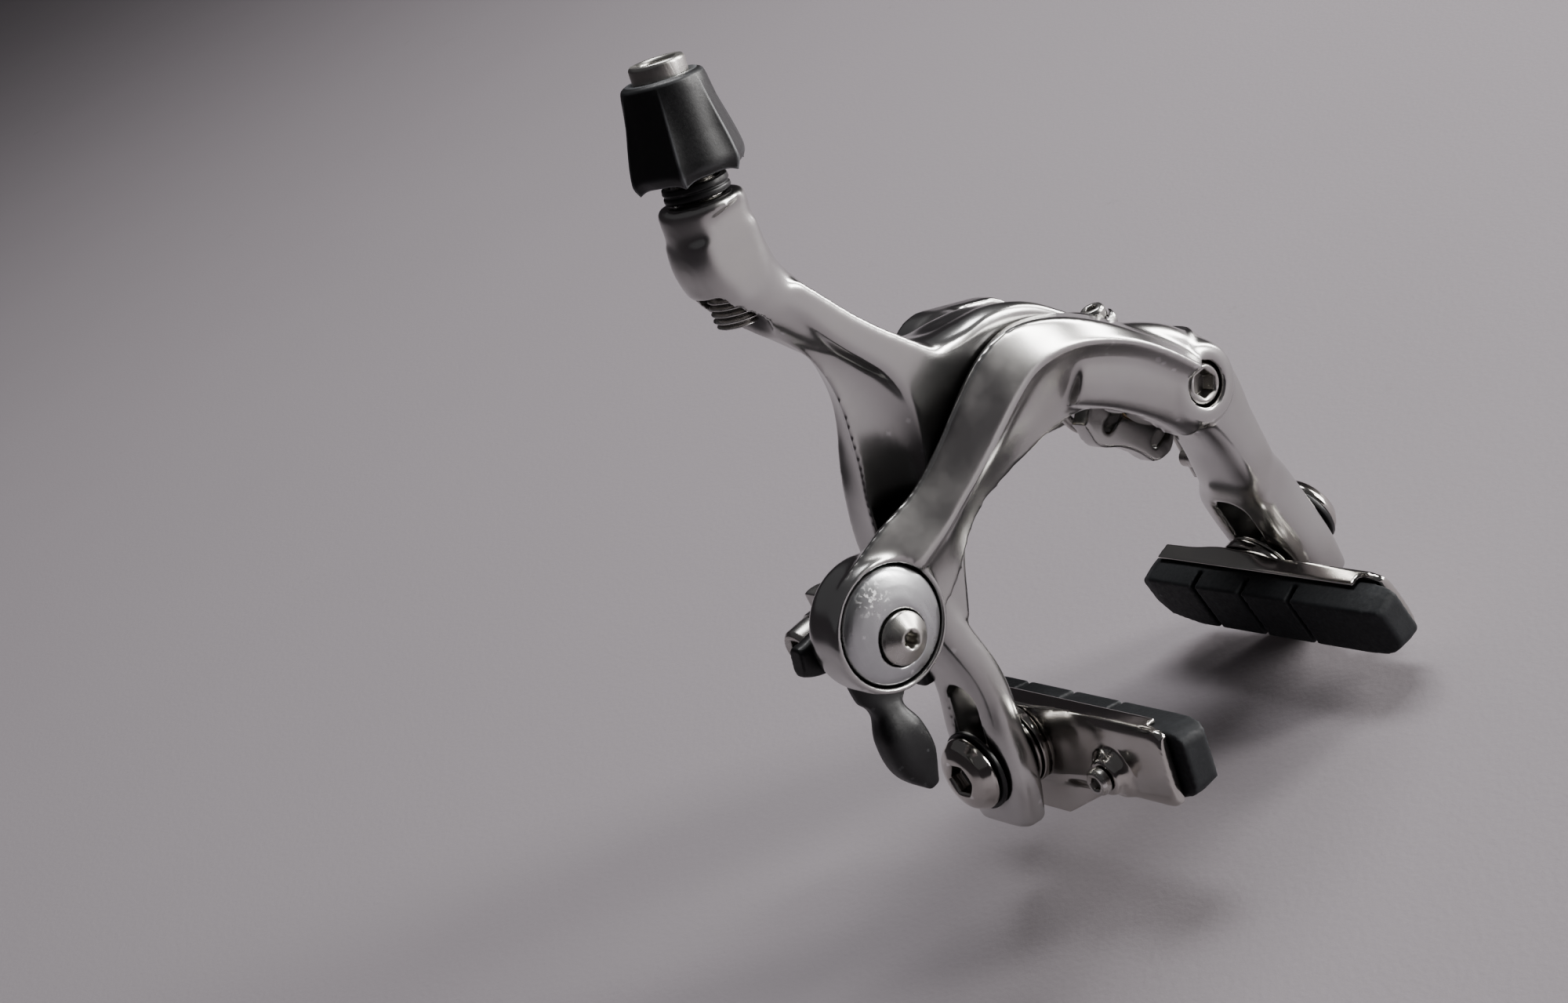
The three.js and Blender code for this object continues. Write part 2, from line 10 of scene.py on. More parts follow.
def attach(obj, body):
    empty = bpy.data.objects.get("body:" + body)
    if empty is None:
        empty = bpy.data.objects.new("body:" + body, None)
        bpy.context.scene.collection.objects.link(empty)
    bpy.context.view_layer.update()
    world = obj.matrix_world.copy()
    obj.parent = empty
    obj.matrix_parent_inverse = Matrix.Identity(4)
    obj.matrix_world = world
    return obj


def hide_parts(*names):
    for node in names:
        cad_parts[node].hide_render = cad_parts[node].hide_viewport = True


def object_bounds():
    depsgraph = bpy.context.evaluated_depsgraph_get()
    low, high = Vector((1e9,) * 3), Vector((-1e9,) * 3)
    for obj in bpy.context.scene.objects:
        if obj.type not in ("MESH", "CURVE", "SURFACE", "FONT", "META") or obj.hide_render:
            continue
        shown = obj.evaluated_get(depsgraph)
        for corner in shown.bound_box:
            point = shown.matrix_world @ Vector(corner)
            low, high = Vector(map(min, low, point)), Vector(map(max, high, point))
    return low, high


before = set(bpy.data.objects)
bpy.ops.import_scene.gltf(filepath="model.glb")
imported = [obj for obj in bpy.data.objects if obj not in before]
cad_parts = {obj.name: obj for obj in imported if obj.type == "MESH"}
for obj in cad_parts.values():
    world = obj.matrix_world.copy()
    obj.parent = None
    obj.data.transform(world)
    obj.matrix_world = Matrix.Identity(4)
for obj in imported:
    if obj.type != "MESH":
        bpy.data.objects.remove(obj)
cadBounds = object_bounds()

mm = 0.001
yAxis = np.array([0.0, 1.0, 0.0])
zAxis = np.array([0.0, 0.0, 1.0])


def unit(x, y, z):
    v = np.array([x, y, z], float)
    return v / np.linalg.norm(v)


# Camera: azimuth, elevation and roll in degrees, place, lens and sensor in mm, clip in metres
view = {
    "azimuth": -26.83, "elevation": 22.74, "roll": -29.24,
    "place": (-196.8, -334.15, 163.49),
    "lens": 59.3, "sensor": 36, "clip": (0.01, 60),
}


# the camera looks along minus its third axis, which azimuth and elevation give; roll turns the other two
def makeCamera():
    a, e, r = np.radians([view["azimuth"], view["elevation"], view["roll"]])
    back = np.array([math.sin(a) * math.cos(e), -math.cos(a) * math.cos(e), math.sin(e)])
    level = np.array([math.cos(a), math.sin(a), 0.0])
    above = np.cross(back, level)
    right = level * math.cos(r) + above * math.sin(r)
    up = above * math.cos(r) - level * math.sin(r)
    data = bpy.data.cameras.new("camera")
    data.lens = view["lens"]
    data.sensor_width = view["sensor"]
    data.clip_start, data.clip_end = view["clip"]
    cam = bpy.data.objects.new("camera", data)
    bpy.context.scene.collection.objects.link(cam)
    turn = Matrix([right, up, back]).transposed().to_4x4()
    cam.matrix_world = Matrix.Translation(Vector(view["place"]) * mm) @ turn
    bpy.context.scene.camera = cam


makeCamera()
print("camera placed")


# a smooth curve through points of any width (Catmull-Rom), sampled evenly along its parameter
def through(points, count):
    p = np.array(points, float)
    p = np.vstack([2 * p[0] - p[1], p, 2 * p[-1] - p[-2]])
    t = np.linspace(0, len(p) - 3 - 1e-9, count)
    i = t.astype(int)
    f = (t - i)[:, None]
    a, b, c, d = p[i], p[i + 1], p[i + 2], p[i + 3]
    square = 2 * a - 5 * b + 4 * c - d
    cube = 3 * b - a - 3 * c + d
    return 0.5 * (2 * b + (c - a) * f + square * f ** 2 + cube * f ** 3)


# quads between neighbouring rows and columns of a grid of points, closed round the columns;
# its two ends are capped with a flat face, joined to each other, or left open
def gridFaces(rows, cols, ends="capped"):
    i, j = np.meshgrid(np.arange(rows - 1), np.arange(cols), indexing="ij")
    k = (j + 1) % cols
    quads = np.stack([i * cols + j, i * cols + k, (i + 1) * cols + k, (i + 1) * cols + j], -1).reshape(-1, 4)
    last = (rows - 1) * cols
    j = np.arange(cols)
    k = (j + 1) % cols
    more = []
    if ends == "capped":
        more = [list(range(cols))[::-1], list(range(last, last + cols))]
    if ends == "joined":
        more = np.stack([last + j, last + k, k, j], -1).tolist()
    return quads.tolist() + more


# a mesh object from points in mm; its faces are turned outwards
def meshPiece(name, points, faces, smooth=True):
    mesh = bpy.data.meshes.new(name)
    mesh.from_pydata((np.asarray(points) * mm).tolist(), [], faces)
    mesh.validate()
    piece = bpy.data.objects.new(name, mesh)
    bpy.context.scene.collection.objects.link(piece)
    faceOutwards(piece)
    mesh.polygons.foreach_set("use_smooth", [smooth] * len(mesh.polygons))
    return piece


# a closed mesh whose summed corner volumes are negative is inside out, and is flipped
def faceOutwards(piece):
    mesh = piece.data
    mesh.calc_loop_triangles()
    tris = np.empty(len(mesh.loop_triangles) * 3, int)
    mesh.loop_triangles.foreach_get("vertices", tris)
    co = np.empty(len(mesh.vertices) * 3)
    mesh.vertices.foreach_get("co", co)
    a, b, c = co.reshape(-1, 3)[tris.reshape(-1, 3)].transpose(1, 0, 2)
    if np.einsum("ij,ij->i", a, np.cross(b, c)).sum() < 0:
        mesh.flip_normals()


# a frame of three axes whose second is the given one
def axesFor(axis):
    side = np.cross(axis, zAxis if abs(axis[2]) < 0.9 else np.array([1.0, 0, 0]))
    side = side / np.linalg.norm(side)
    return side, axis, np.cross(side, axis)


# each corner of a profile becomes a short parabola, so that its edge catches the light
def softCorners(profile, soft, steps=4):
    p = np.array(profile, float)
    out = [p[0]]
    for i in range(1, len(p) - 1):
        before, after = p[i - 1] - p[i], p[i + 1] - p[i]
        lengths = np.linalg.norm(before[:2]), np.linalg.norm(after[:2])
        cutBack = min(soft, 0.45 * lengths[0], 0.45 * lengths[1])
        start = p[i] + before * cutBack / max(lengths[0], 1e-9)
        end = p[i] + after * cutBack / max(lengths[1], 1e-9)
        t = np.linspace(0, 1, steps)[:, None]
        out.extend((1 - t) ** 2 * start + 2 * t * (1 - t) * p[i] + t ** 2 * end)
    out.append(p[-1])
    return np.array(out)


# radius factor of a polygon with flat sides round its centre, cos(half side) over cos(angle from the
# side's middle): flats 6 gives a hexagon, and 0 a star whose radius waves six times a turn
def flatsFactor(angle, flats):
    if flats == 0:
        return 0.92 + 0.10 * np.cos(6 * angle)
    step = 2 * np.pi / flats
    return np.cos(step / 2) / np.cos((angle % step) - step / 2)


# points at radius r, height h and an angle round an axis
def roundAxis(at, axis, r, h, angle):
    u, v, w = axesFor(np.asarray(axis, float))
    across = (r * np.cos(angle))[..., None] * u
    return np.asarray(at, float) + h[..., None] * v + across + (r * np.sin(angle))[..., None] * w


# turned piece: a profile of [radius, height along the axis, optional share of hexagon] swept round the axis
def turned(name, profile, at, axis=yAxis, segments=64, soft=0.25, flats=6):
    p = np.array([list(q) + [0] * (3 - len(q)) for q in profile], float)
    p = softCorners(p, soft)
    angle = np.linspace(0, 2 * np.pi, segments, endpoint=False)
    hexed = 1 + p[:, 2:3] * (flatsFactor(angle, flats)[None] - 1)
    r = p[:, 0:1] * hexed
    points = roundAxis(at, axis, r, p[:, 1:2], angle)
    closed = np.allclose(p[0], p[-1])
    rows = len(p) - 1 if closed else len(p)
    faces = gridFaces(rows, segments, "joined" if closed else "capped")
    piece = meshPiece(name, points[:rows].reshape(-1, 3), faces)
    weld(piece)
    return piece


def makeSmooth(piece):
    piece.data.polygons.foreach_set("use_smooth", [True] * len(piece.data.polygons))


# merges points that fall together, such as a turned piece's pole
def weld(piece):
    bm = bmesh.new()
    bm.from_mesh(piece.data)
    bmesh.ops.remove_doubles(bm, verts=bm.verts, dist=0.001 * mm)
    bmesh.ops.dissolve_degenerate(bm, edges=bm.edges, dist=0.001 * mm)
    bmesh.ops.recalc_face_normals(bm, faces=bm.faces)
    bm.to_mesh(piece.data)
    bm.free()
    faceOutwards(piece)
    makeSmooth(piece)


# loft of rounded-box sections, |x/a|^power + |y/b|^power = 1, square to the path and level in y:
# stations [x, y, z, half across, half in y]; power 2 is an ellipse
def loft(name, stations, steps=60, sides=48, power=3.0):
    s = through(stations, steps)
    along = np.gradient(s[:, :3], axis=0)
    along /= np.linalg.norm(along, axis=1)[:, None]
    across = np.cross(yAxis, along)
    across /= np.linalg.norm(across, axis=1)[:, None]
    turn = 2 * np.pi * (np.arange(sides) + 0.5) / sides
    c = np.sign(np.cos(turn)) * np.abs(np.cos(turn)) ** (2 / power)
    d = np.sign(np.sin(turn)) * np.abs(np.sin(turn)) ** (2 / power)
    points = (s[:, None, :3] + across[:, None] * (s[:, 3:4] * c[None])[..., None]
              + yAxis * (s[:, 4:5] * d[None])[..., None])
    return meshPiece(name, points.reshape(-1, 3), gridFaces(steps, sides))


# ribbon: a closed section whose corners each follow a curve of their own, given as points [x, y, z];
# hollows gives, for each side between corners, the share of the way to the middle that it bows in by
def ribbon(name, corners, hollows, steps=90, perSide=10):
    curves = np.stack([through(c, steps) for c in corners], 1)
    count = len(corners)
    middle = curves.mean(1)
    t = np.linspace(0, 1, perSide, endpoint=False)
    sides = []
    for i in range(count):
        a, b = curves[:, i], curves[:, (i + 1) % count]
        pull = middle - (a + b) / 2
        bow = 4 * t * (1 - t) * hollows[i]
        sides.append(a[:, None] * (1 - t)[None, :, None] + b[:, None] * t[None, :, None]
                     + pull[:, None] * bow[None, :, None])
    points = np.concatenate(sides, 1)
    return meshPiece(name, points.reshape(-1, 3), gridFaces(steps, points.shape[1]))


# a closed ring [x, z] copied to two y planes, with walls between them and a face on each end
def betweenPlanes(name, ring, front, back):
    points = np.array([np.insert(ring, 1, y, axis=1) for y in (front, back)])
    return meshPiece(name, points.reshape(-1, 3), gridFaces(2, len(ring)))


# a flat outline [x, z], smoothed and closed, given thickness from one y to another
def slab(name, outline, front, back, count=96):
    p = np.array(outline, float)
    ring = through(np.vstack([p, p[:1]]), count + 1)[:-1]
    return betweenPlanes(name, ring, front, back)


# the outline round two discs a and b of [x, z, r]: an arc of each, joined by the lines that touch both
def capsule(a, b, count=96):
    a, b = np.array(a, float), np.array(b, float)
    gapBetween = b[:2] - a[:2]
    along = math.atan2(gapBetween[1], gapBetween[0])
    spread = math.acos((a[2] - b[2]) / np.linalg.norm(gapBetween))
    first = np.linspace(along + spread, along - spread + 2 * np.pi, count // 2)
    second = np.linspace(along - spread, along + spread, count // 2)
    left = np.column_stack([a[0] + a[2] * np.cos(first), a[1] + a[2] * np.sin(first)])
    right = np.column_stack([b[0] + b[2] * np.cos(second), b[1] + b[2] * np.sin(second)])
    return np.vstack([left, right])


# capsule outline as a block between two y planes
def capsuleBlock(name, a, b, front, back, count=96):
    ring = capsule(a, b, count)
    return betweenPlanes(name, ring, front, back)


# a plain box between two values of x, of y and of z, as a cutter
def boxPiece(name, acrossX, acrossY, acrossZ):
    corners = np.array([[x, y, z] for x in acrossX for y in acrossY for z in acrossZ])
    faces = [[0, 1, 3, 2], [4, 5, 7, 6], [0, 1, 5, 4], [2, 3, 7, 6], [0, 2, 6, 4], [1, 3, 7, 5]]
    box = meshPiece(name, corners, faces, smooth=False)
    weld(box)
    return box


# round wire along a smooth path: a circle square to the path at each step
def wire(name, path, radius, steps, sides=20):
    s = through(path, steps)
    along = np.gradient(s, axis=0)
    along /= np.linalg.norm(along, axis=1)[:, None]
    side = np.cross(along, np.array([0.31, 0.2, 0.93]))  # a direction that the path never runs along
    side /= np.linalg.norm(side, axis=1)[:, None]
    other = np.cross(along, side)
    a = np.linspace(0, 2 * np.pi, sides, endpoint=False)
    around = side[:, None] * np.cos(a)[None, :, None] + other[:, None] * np.sin(a)[None, :, None]
    points = s[:, None] + radius * around
    return meshPiece(name, points.reshape(-1, 3), gridFaces(steps, sides))


# applies whatever modifiers a piece has, so that its final mesh is its own
def applyModifiers(piece):
    graph = bpy.context.evaluated_depsgraph_get()
    mesh = bpy.data.meshes.new_from_object(piece.evaluated_get(graph))
    piece.modifiers.clear()
    old = piece.data
    piece.data = mesh
    bpy.data.meshes.remove(old)


# joins several meshes into the first one
def joinPieces(name, pieces):
    vertices, faces, start = [], [], 0
    for p in pieces:
        co = np.empty(len(p.data.vertices) * 3)
        p.data.vertices.foreach_get("co", co)
        vertices.append(co.reshape(-1, 3) / mm)
        faces += [[start + v for v in poly.vertices] for poly in p.data.polygons]
        start += len(p.data.vertices)
    for p in pieces:
        mesh = p.data
        bpy.data.objects.remove(p)
        bpy.data.meshes.remove(mesh)
    mesh = bpy.data.meshes.new(name)
    mesh.from_pydata((np.vstack(vertices) * mm).tolist(), [], faces)
    piece = bpy.data.objects.new(name, mesh)
    bpy.context.scene.collection.objects.link(piece)
    return piece


# forged: the shells become one skin, the cutters are taken out, and its edges are rounded as a cast or
# polished piece's are; grain is the skin's mesh size in mm and rounds is how often it is smoothed
def forged(name, shells, cutters, grain=0.4, rounds=10):
    body = joinPieces(name, shells)
    fuse = body.modifiers.new("fuse", "REMESH")
    fuse.mode = "VOXEL"
    fuse.voxel_size = grain * mm
    applyModifiers(body)
    if cutters:
        tool = joinPieces(name + "Tools", cutters)
        take = body.modifiers.new("take", "BOOLEAN")
        take.operation = "DIFFERENCE"
        take.solver = "EXACT"
        take.use_self = True
        take.object = tool
        applyModifiers(body)
        bpy.data.objects.remove(tool)
        again = body.modifiers.new("fuse", "REMESH")
        again.mode = "VOXEL"
        again.voxel_size = grain * mm
        applyModifiers(body)
    ease = body.modifiers.new("ease", "SMOOTH")
    ease.factor = 0.5
    ease.iterations = rounds
    applyModifiers(body)
    makeSmooth(body)
    faceOutwards(body)
    return body


# dresses a piece: it gets its material, rides on the body and stands for the CAD node
def dress(piece, node, body, material):
    piece.data.materials.clear()
    piece.data.materials.append(material)
    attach(piece, body)
    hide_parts(node)


# a shader group with named sockets; each puts out masks, values and normals only
def newGroup(name, inputs, outputs):
    group = bpy.data.node_groups.new(name, "ShaderNodeTree")
    for label, kind, value in inputs:
        socket = group.interface.new_socket(label, in_out="INPUT", socket_type=kind)
        socket.default_value = value
    for label, kind in outputs:
        group.interface.new_socket(label, in_out="OUTPUT", socket_type=kind)
    return group, group.nodes.new("NodeGroupInput"), group.nodes.new("NodeGroupOutput")


def addNode(tree, kind, **values):
    node = tree.nodes.new(kind)
    for key, value in values.items():
        setattr(node, key, value)
    return node


def mathNode(tree, operation, a, b, clamp=False):
    node = addNode(tree, "ShaderNodeMath", operation=operation, use_clamp=clamp)
    for socket, value in ((node.inputs[0], a), (node.inputs[1], b)):
        if isinstance(value, (int, float)):
            socket.default_value = value
        else:
            tree.links.new(value, socket)
    return node.outputs[0]


# noise whose detail is at the given size, in features per metre, stretched along the three axes
def noiseNode(tree, scale, detail=3.0, stretch=(1, 1, 1), rough=0.55):
    place = addNode(tree, "ShaderNodeTexCoord")
    mapping = addNode(tree, "ShaderNodeMapping")
    mapping.inputs["Scale"].default_value = stretch
    noise = addNode(tree, "ShaderNodeTexNoise")
    noise.inputs["Detail"].default_value = detail
    noise.inputs["Roughness"].default_value = rough
    tree.links.new(place.outputs["Object"], mapping.inputs["Vector"])
    tree.links.new(mapping.outputs["Vector"], noise.inputs["Vector"])
    if isinstance(scale, (int, float)):
        noise.inputs["Scale"].default_value = scale
    else:
        tree.links.new(scale, noise.inputs["Scale"])
    return noise.outputs["Fac"]


# maps a value from one span to another in a straight line, held at the ends
def spanNode(tree, value, low, high, to0=0.0, to1=1.0):
    node = addNode(tree, "ShaderNodeMapRange")
    tree.links.new(value, node.inputs["Value"])
    for key, number in (("From Min", low), ("From Max", high), ("To Min", to0), ("To Max", to1)):
        node.inputs[key].default_value = number
    return node.outputs[0]


# handling: cloudy smudges, fine directionless hairlines and a very slight surface ripple
def makeHandlingGroup():
    group, given, out = newGroup("handling", [
        ("Smudge Scale", "NodeSocketFloat", 140.0), ("Hairline Scale", "NodeSocketFloat", 900.0),
        ("Bump", "NodeSocketFloat", 0.05)],
        [("Smudge", "NodeSocketFloat"), ("Hairline", "NodeSocketFloat"), ("Normal", "NodeSocketVector")])
    cloud = noiseNode(group, given.outputs["Smudge Scale"], detail=4)
    lineA = noiseNode(group, given.outputs["Hairline Scale"], detail=2, stretch=(1, 0.06, 0.06))
    lineB = noiseNode(group, given.outputs["Hairline Scale"], detail=2, stretch=(0.07, 0.9, 0.12))
    lines = mathNode(group, "MAXIMUM", spanNode(group, lineA, 0.62, 0.75), spanNode(group, lineB, 0.63, 0.76))
    grain = noiseNode(group, 2600.0, detail=2)
    height = mathNode(group, "ADD", mathNode(group, "MULTIPLY", lines, -0.6), grain)
    bump = addNode(group, "ShaderNodeBump")
    bump.inputs["Distance"].default_value = 0.00006
    group.links.new(given.outputs["Bump"], bump.inputs["Strength"])
    group.links.new(height, bump.inputs["Height"])
    group.links.new(spanNode(group, cloud, 0.36, 0.66), out.inputs["Smudge"])
    group.links.new(lines, out.inputs["Hairline"])
    group.links.new(bump.outputs["Normal"], out.inputs["Normal"])
    return group


# edge wear: convex edges found from the mesh's pointiness, broken up by noise
def makeEdgeWearGroup():
    group, given, out = newGroup("edgeWear", [
        ("Start", "NodeSocketFloat", 0.52), ("End", "NodeSocketFloat", 0.58),
        ("Patchy", "NodeSocketFloat", 0.5)],
        [("Edge", "NodeSocketFloat"), ("Hollow", "NodeSocketFloat")])
    shape = addNode(group, "ShaderNodeNewGeometry")
    edge = addNode(group, "ShaderNodeMapRange")
    group.links.new(shape.outputs["Pointiness"], edge.inputs["Value"])
    group.links.new(given.outputs["Start"], edge.inputs["From Min"])
    group.links.new(given.outputs["End"], edge.inputs["From Max"])
    patch = spanNode(group, noiseNode(group, 420.0, detail=4), 0.35, 0.6)
    kept = mathNode(group, "MULTIPLY", mathNode(group, "SUBTRACT", 1.0, patch), given.outputs["Patchy"])
    paleEdge = mathNode(group, "MULTIPLY", edge.outputs[0], mathNode(group, "SUBTRACT", 1.0, kept), True)
    group.links.new(paleEdge, out.inputs["Edge"])
    group.links.new(spanNode(group, shape.outputs["Pointiness"], 0.49, 0.44), out.inputs["Hollow"])
    return group


# moulded grain: fine pits for plastics and rubber, with a paler dusting, which on the knob also paints a grey
# sheen
def makeGrainGroup():
    group, given, out = newGroup("mouldedGrain", [
        ("Scale", "NodeSocketFloat", 2200.0), ("Bump", "NodeSocketFloat", 0.25)],
        [("Dust And Sheen", "NodeSocketFloat"), ("Grain", "NodeSocketFloat"), ("Normal", "NodeSocketVector")])
    pits = noiseNode(group, given.outputs["Scale"], detail=4, rough=0.65)
    dustAndSheen = noiseNode(group, 260.0, detail=6, rough=0.7)
    bump = addNode(group, "ShaderNodeBump")
    bump.inputs["Distance"].default_value = 0.0001
    group.links.new(given.outputs["Bump"], bump.inputs["Strength"])
    group.links.new(pits, bump.inputs["Height"])
    group.links.new(spanNode(group, dustAndSheen, 0.5, 0.8), out.inputs["Dust And Sheen"])
    group.links.new(pits, out.inputs["Grain"])
    group.links.new(bump.outputs["Normal"], out.inputs["Normal"])
    return group


handling = makeHandlingGroup()
edgeWear = makeEdgeWearGroup()
mouldedGrain = makeGrainGroup()


def groupNode(tree, group, **values):
    node = addNode(tree, "ShaderNodeGroup", node_tree=group)
    for key, value in values.items():
        node.inputs[key].default_value = value
    return node


def newMaterial(name):
    material = bpy.data.materials.new(name)
    material.use_nodes = True
    return material, material.node_tree, material.node_tree.nodes["Principled BSDF"]


def mixColour(tree, factor, a, b):
    node = addNode(tree, "ShaderNodeMix", data_type="RGBA")
    tree.links.new(factor, node.inputs["Factor"])
    for socket, value in ((node.inputs[6], a), (node.inputs[7], b)):
        if isinstance(value, tuple):
            socket.default_value = (*value, 1)
        else:
            tree.links.new(value, socket)
    return node.outputs[2]


# Painted shade on metal: the base colour is darkened where other surfaces stand within reach, in mm, standing
# in for the shade of nearby parts; depth is its share of the smudged colour
paintedShade = {"reach": 16, "open": 0.85, "closed": 0.35, "depth": 0.25}


# metal: smudges shift its colour and roughness, concave creases are darker, worn edges are brighter and
# smoother, hairlines are rougher, and places near other surfaces get a painted shade
def makeMetal(name, s):
    material, tree, shader = newMaterial(name)
    touch = groupNode(tree, handling, **{
        "Smudge Scale": s["smudge"], "Hairline Scale": s["hairline"], "Bump": s["bump"]})
    wear = groupNode(tree, edgeWear, Start=s["edge"][0], End=s["edge"][1], Patchy=0.35)
    clean = mixColour(tree, touch.outputs["Smudge"], s["colour"], s["smudged"])
    # darker in concave creases, where the mesh's pointiness is low
    creaseDarkMask = mathNode(tree, "MULTIPLY", wear.outputs["Hollow"], s["creaseDarkShare"])
    creaseDarkened = mixColour(tree, creaseDarkMask, clean, s["creaseDark"])
    paleEdge = mixColour(tree, wear.outputs["Edge"], creaseDarkened, s["bright"])
    # painted shade: ambient occlusion darkens the base colour near other surfaces, in place of the shade they
    # cast
    recessShade = addNode(tree, "ShaderNodeAmbientOcclusion", samples=12)
    recessShade.inputs["Distance"].default_value = paintedShade["reach"] * mm
    recessShadeMask = spanNode(tree, recessShade.outputs["AO"], paintedShade["closed"], paintedShade["open"], s["recessShade"], 0.0)
    recessShadeColour = tuple(paintedShade["depth"] * c for c in s["smudged"])
    tree.links.new(mixColour(tree, recessShadeMask, paleEdge, recessShadeColour), shader.inputs["Base Color"])
    rough = spanNode(tree, touch.outputs["Smudge"], 0, 1, *s["rough"])
    hairlineRough = mathNode(tree, "MULTIPLY", touch.outputs["Hairline"], s["bump"])
    rough = mathNode(tree, "ADD", rough, hairlineRough)
    edgeShine = mathNode(tree, "MULTIPLY", wear.outputs["Edge"], 0.05)
    rough = mathNode(tree, "SUBTRACT", rough, edgeShine, True)
    tree.links.new(rough, shader.inputs["Roughness"])
    tree.links.new(touch.outputs["Normal"], shader.inputs["Normal"])
    shader.inputs["Metallic"].default_value = 1.0
    return material


# Scuff on the cable boss's cap: where it is and how far it reaches, in mm
scuff = {"place": (-43.2, -39.4, 4.2), "radius": 3.4}


# scuff: small bright chips that thin out away from a place, where a fine noise is above a limit
def addScuff(material, place, radius):
    tree = material.node_tree
    shader = tree.nodes["Principled BSDF"]
    where = addNode(tree, "ShaderNodeTexCoord")
    away = addNode(tree, "ShaderNodeVectorMath", operation="DISTANCE")
    tree.links.new(where.outputs["Object"], away.inputs[0])
    away.inputs[1].default_value = [v * mm for v in place]
    near = spanNode(tree, away.outputs["Value"], radius * mm, 0.3 * radius * mm)
    chips = spanNode(tree, noiseNode(tree, 1400.0, detail=3), 0.55, 0.60)
    mask = mathNode(tree, "MULTIPLY", near, chips, True)
    before = shader.inputs["Base Color"].links[0].from_socket
    tree.links.new(mixColour(tree, mask, before, (0.95, 0.95, 0.95)), shader.inputs["Base Color"])
    roughBefore = shader.inputs["Roughness"].links[0].from_socket
    tree.links.new(mathNode(tree, "ADD", roughBefore, mathNode(tree, "MULTIPLY", mask, 0.2)),
                   shader.inputs["Roughness"])


# plastic or rubber: dark body, pale dusty patches and paler edges; on the knob the patches also paint a grey
# sheen and the edges are partly a painted highlight
def makeMoulded(name, s):
    material, tree, shader = newMaterial(name)
    skin = groupNode(tree, mouldedGrain, Scale=s["grain"], Bump=s["bump"])
    wear = groupNode(tree, edgeWear, Start=s["edge"][0], End=s["edge"][1], Patchy=s["patchy"])
    dustAndSheenMask = mathNode(tree, "MULTIPLY", skin.outputs["Dust And Sheen"], s["dustAndSheenShare"])
    dustAndSheenMixed = mixColour(tree, dustAndSheenMask, s["colour"], s["dustAndSheen"])
    paleEdgeMask = mathNode(tree, "MULTIPLY", wear.outputs["Edge"], s["paleEdgeShare"])
    paleEdge = mixColour(tree, paleEdgeMask, dustAndSheenMixed, s["paleEdge"])
    tree.links.new(paleEdge, shader.inputs["Base Color"])
    rough = spanNode(tree, skin.outputs["Grain"], 0.3, 0.7, *s["rough"])
    tree.links.new(rough, shader.inputs["Roughness"])
    tree.links.new(skin.outputs["Normal"], shader.inputs["Normal"])
    shader.inputs["Specular IOR Level"].default_value = s["shine"]
    return material


# Finishes: linear colours, shares from 0 to 1, roughness spans, pointiness at which an edge starts and is
# fully worn, and noise sizes in features per metre
satin = makeMetal("satinAluminium", {
    "colour": (0.60, 0.595, 0.585), "smudged": (0.54, 0.53, 0.515), "bright": (0.80, 0.795, 0.79),
    "creaseDark": (0.20, 0.185, 0.16), "creaseDarkShare": 0.1, "recessShade": 0.75,
    "rough": (0.18, 0.27), "edge": (0.53, 0.62),
    "smudge": 90.0, "hairline": 1500.0, "bump": 0.0})
chrome = makeMetal("chromePlate", {
    "colour": (0.62, 0.60, 0.57), "smudged": (0.54, 0.515, 0.48), "bright": (0.86, 0.85, 0.83),
    "creaseDark": (0.16, 0.14, 0.12), "creaseDarkShare": 0.5, "recessShade": 0.55,
    "rough": (0.09, 0.17), "edge": (0.515, 0.60),
    "smudge": 120.0, "hairline": 900.0, "bump": 0.03})
steel = makeMetal("plainSteel", {
    "colour": (0.58, 0.57, 0.55), "smudged": (0.46, 0.44, 0.41), "bright": (0.85, 0.84, 0.82),
    "creaseDark": (0.08, 0.075, 0.07), "creaseDarkShare": 0.8, "recessShade": 0.4,
    "rough": (0.22, 0.34), "edge": (0.515, 0.58),
    "smudge": 260.0, "hairline": 1600.0, "bump": 0.08})
capSkin = makeMetal("capSkin", {
    "colour": (0.60, 0.61, 0.62), "smudged": (0.53, 0.54, 0.55), "bright": (0.85, 0.86, 0.87),
    "creaseDark": (0.15, 0.14, 0.13), "creaseDarkShare": 0.5, "recessShade": 0.2,
    "rough": (0.26, 0.34), "edge": (0.515, 0.60),
    "smudge": 200.0, "hairline": 1100.0, "bump": 0.08})
addScuff(capSkin, **scuff)
turnedSteel = makeMetal("turnedSteel", {
    "colour": (0.66, 0.65, 0.62), "smudged": (0.56, 0.54, 0.50), "bright": (0.9, 0.89, 0.87),
    "creaseDark": (0.10, 0.09, 0.08), "creaseDarkShare": 0.7, "recessShade": 0.3,
    "rough": (0.24, 0.36), "edge": (0.515, 0.58),
    "smudge": 260.0, "hairline": 2400.0, "bump": 0.16})
brass = makeMetal("bearingBrass", {
    "colour": (0.60, 0.42, 0.18), "smudged": (0.48, 0.33, 0.15), "bright": (0.80, 0.62, 0.32),
    "creaseDark": (0.10, 0.07, 0.03), "creaseDarkShare": 0.7, "recessShade": 0.4,
    "rough": (0.28, 0.4), "edge": (0.515, 0.58),
    "smudge": 260.0, "hairline": 1600.0, "bump": 0.08})
black = makeMoulded("blackPlastic", {
    "colour": (0.007, 0.0072, 0.008), "dustAndSheen": (0.028, 0.028, 0.03), "dustAndSheenShare": 0.3,
    "paleEdge": (0.26, 0.27, 0.28), "paleEdgeShare": 0.2,
    "edge": (0.55, 0.64), "patchy": 0.3, "grain": 2400.0, "bump": 0.12,
    "rough": (0.34, 0.46), "shine": 0.5})
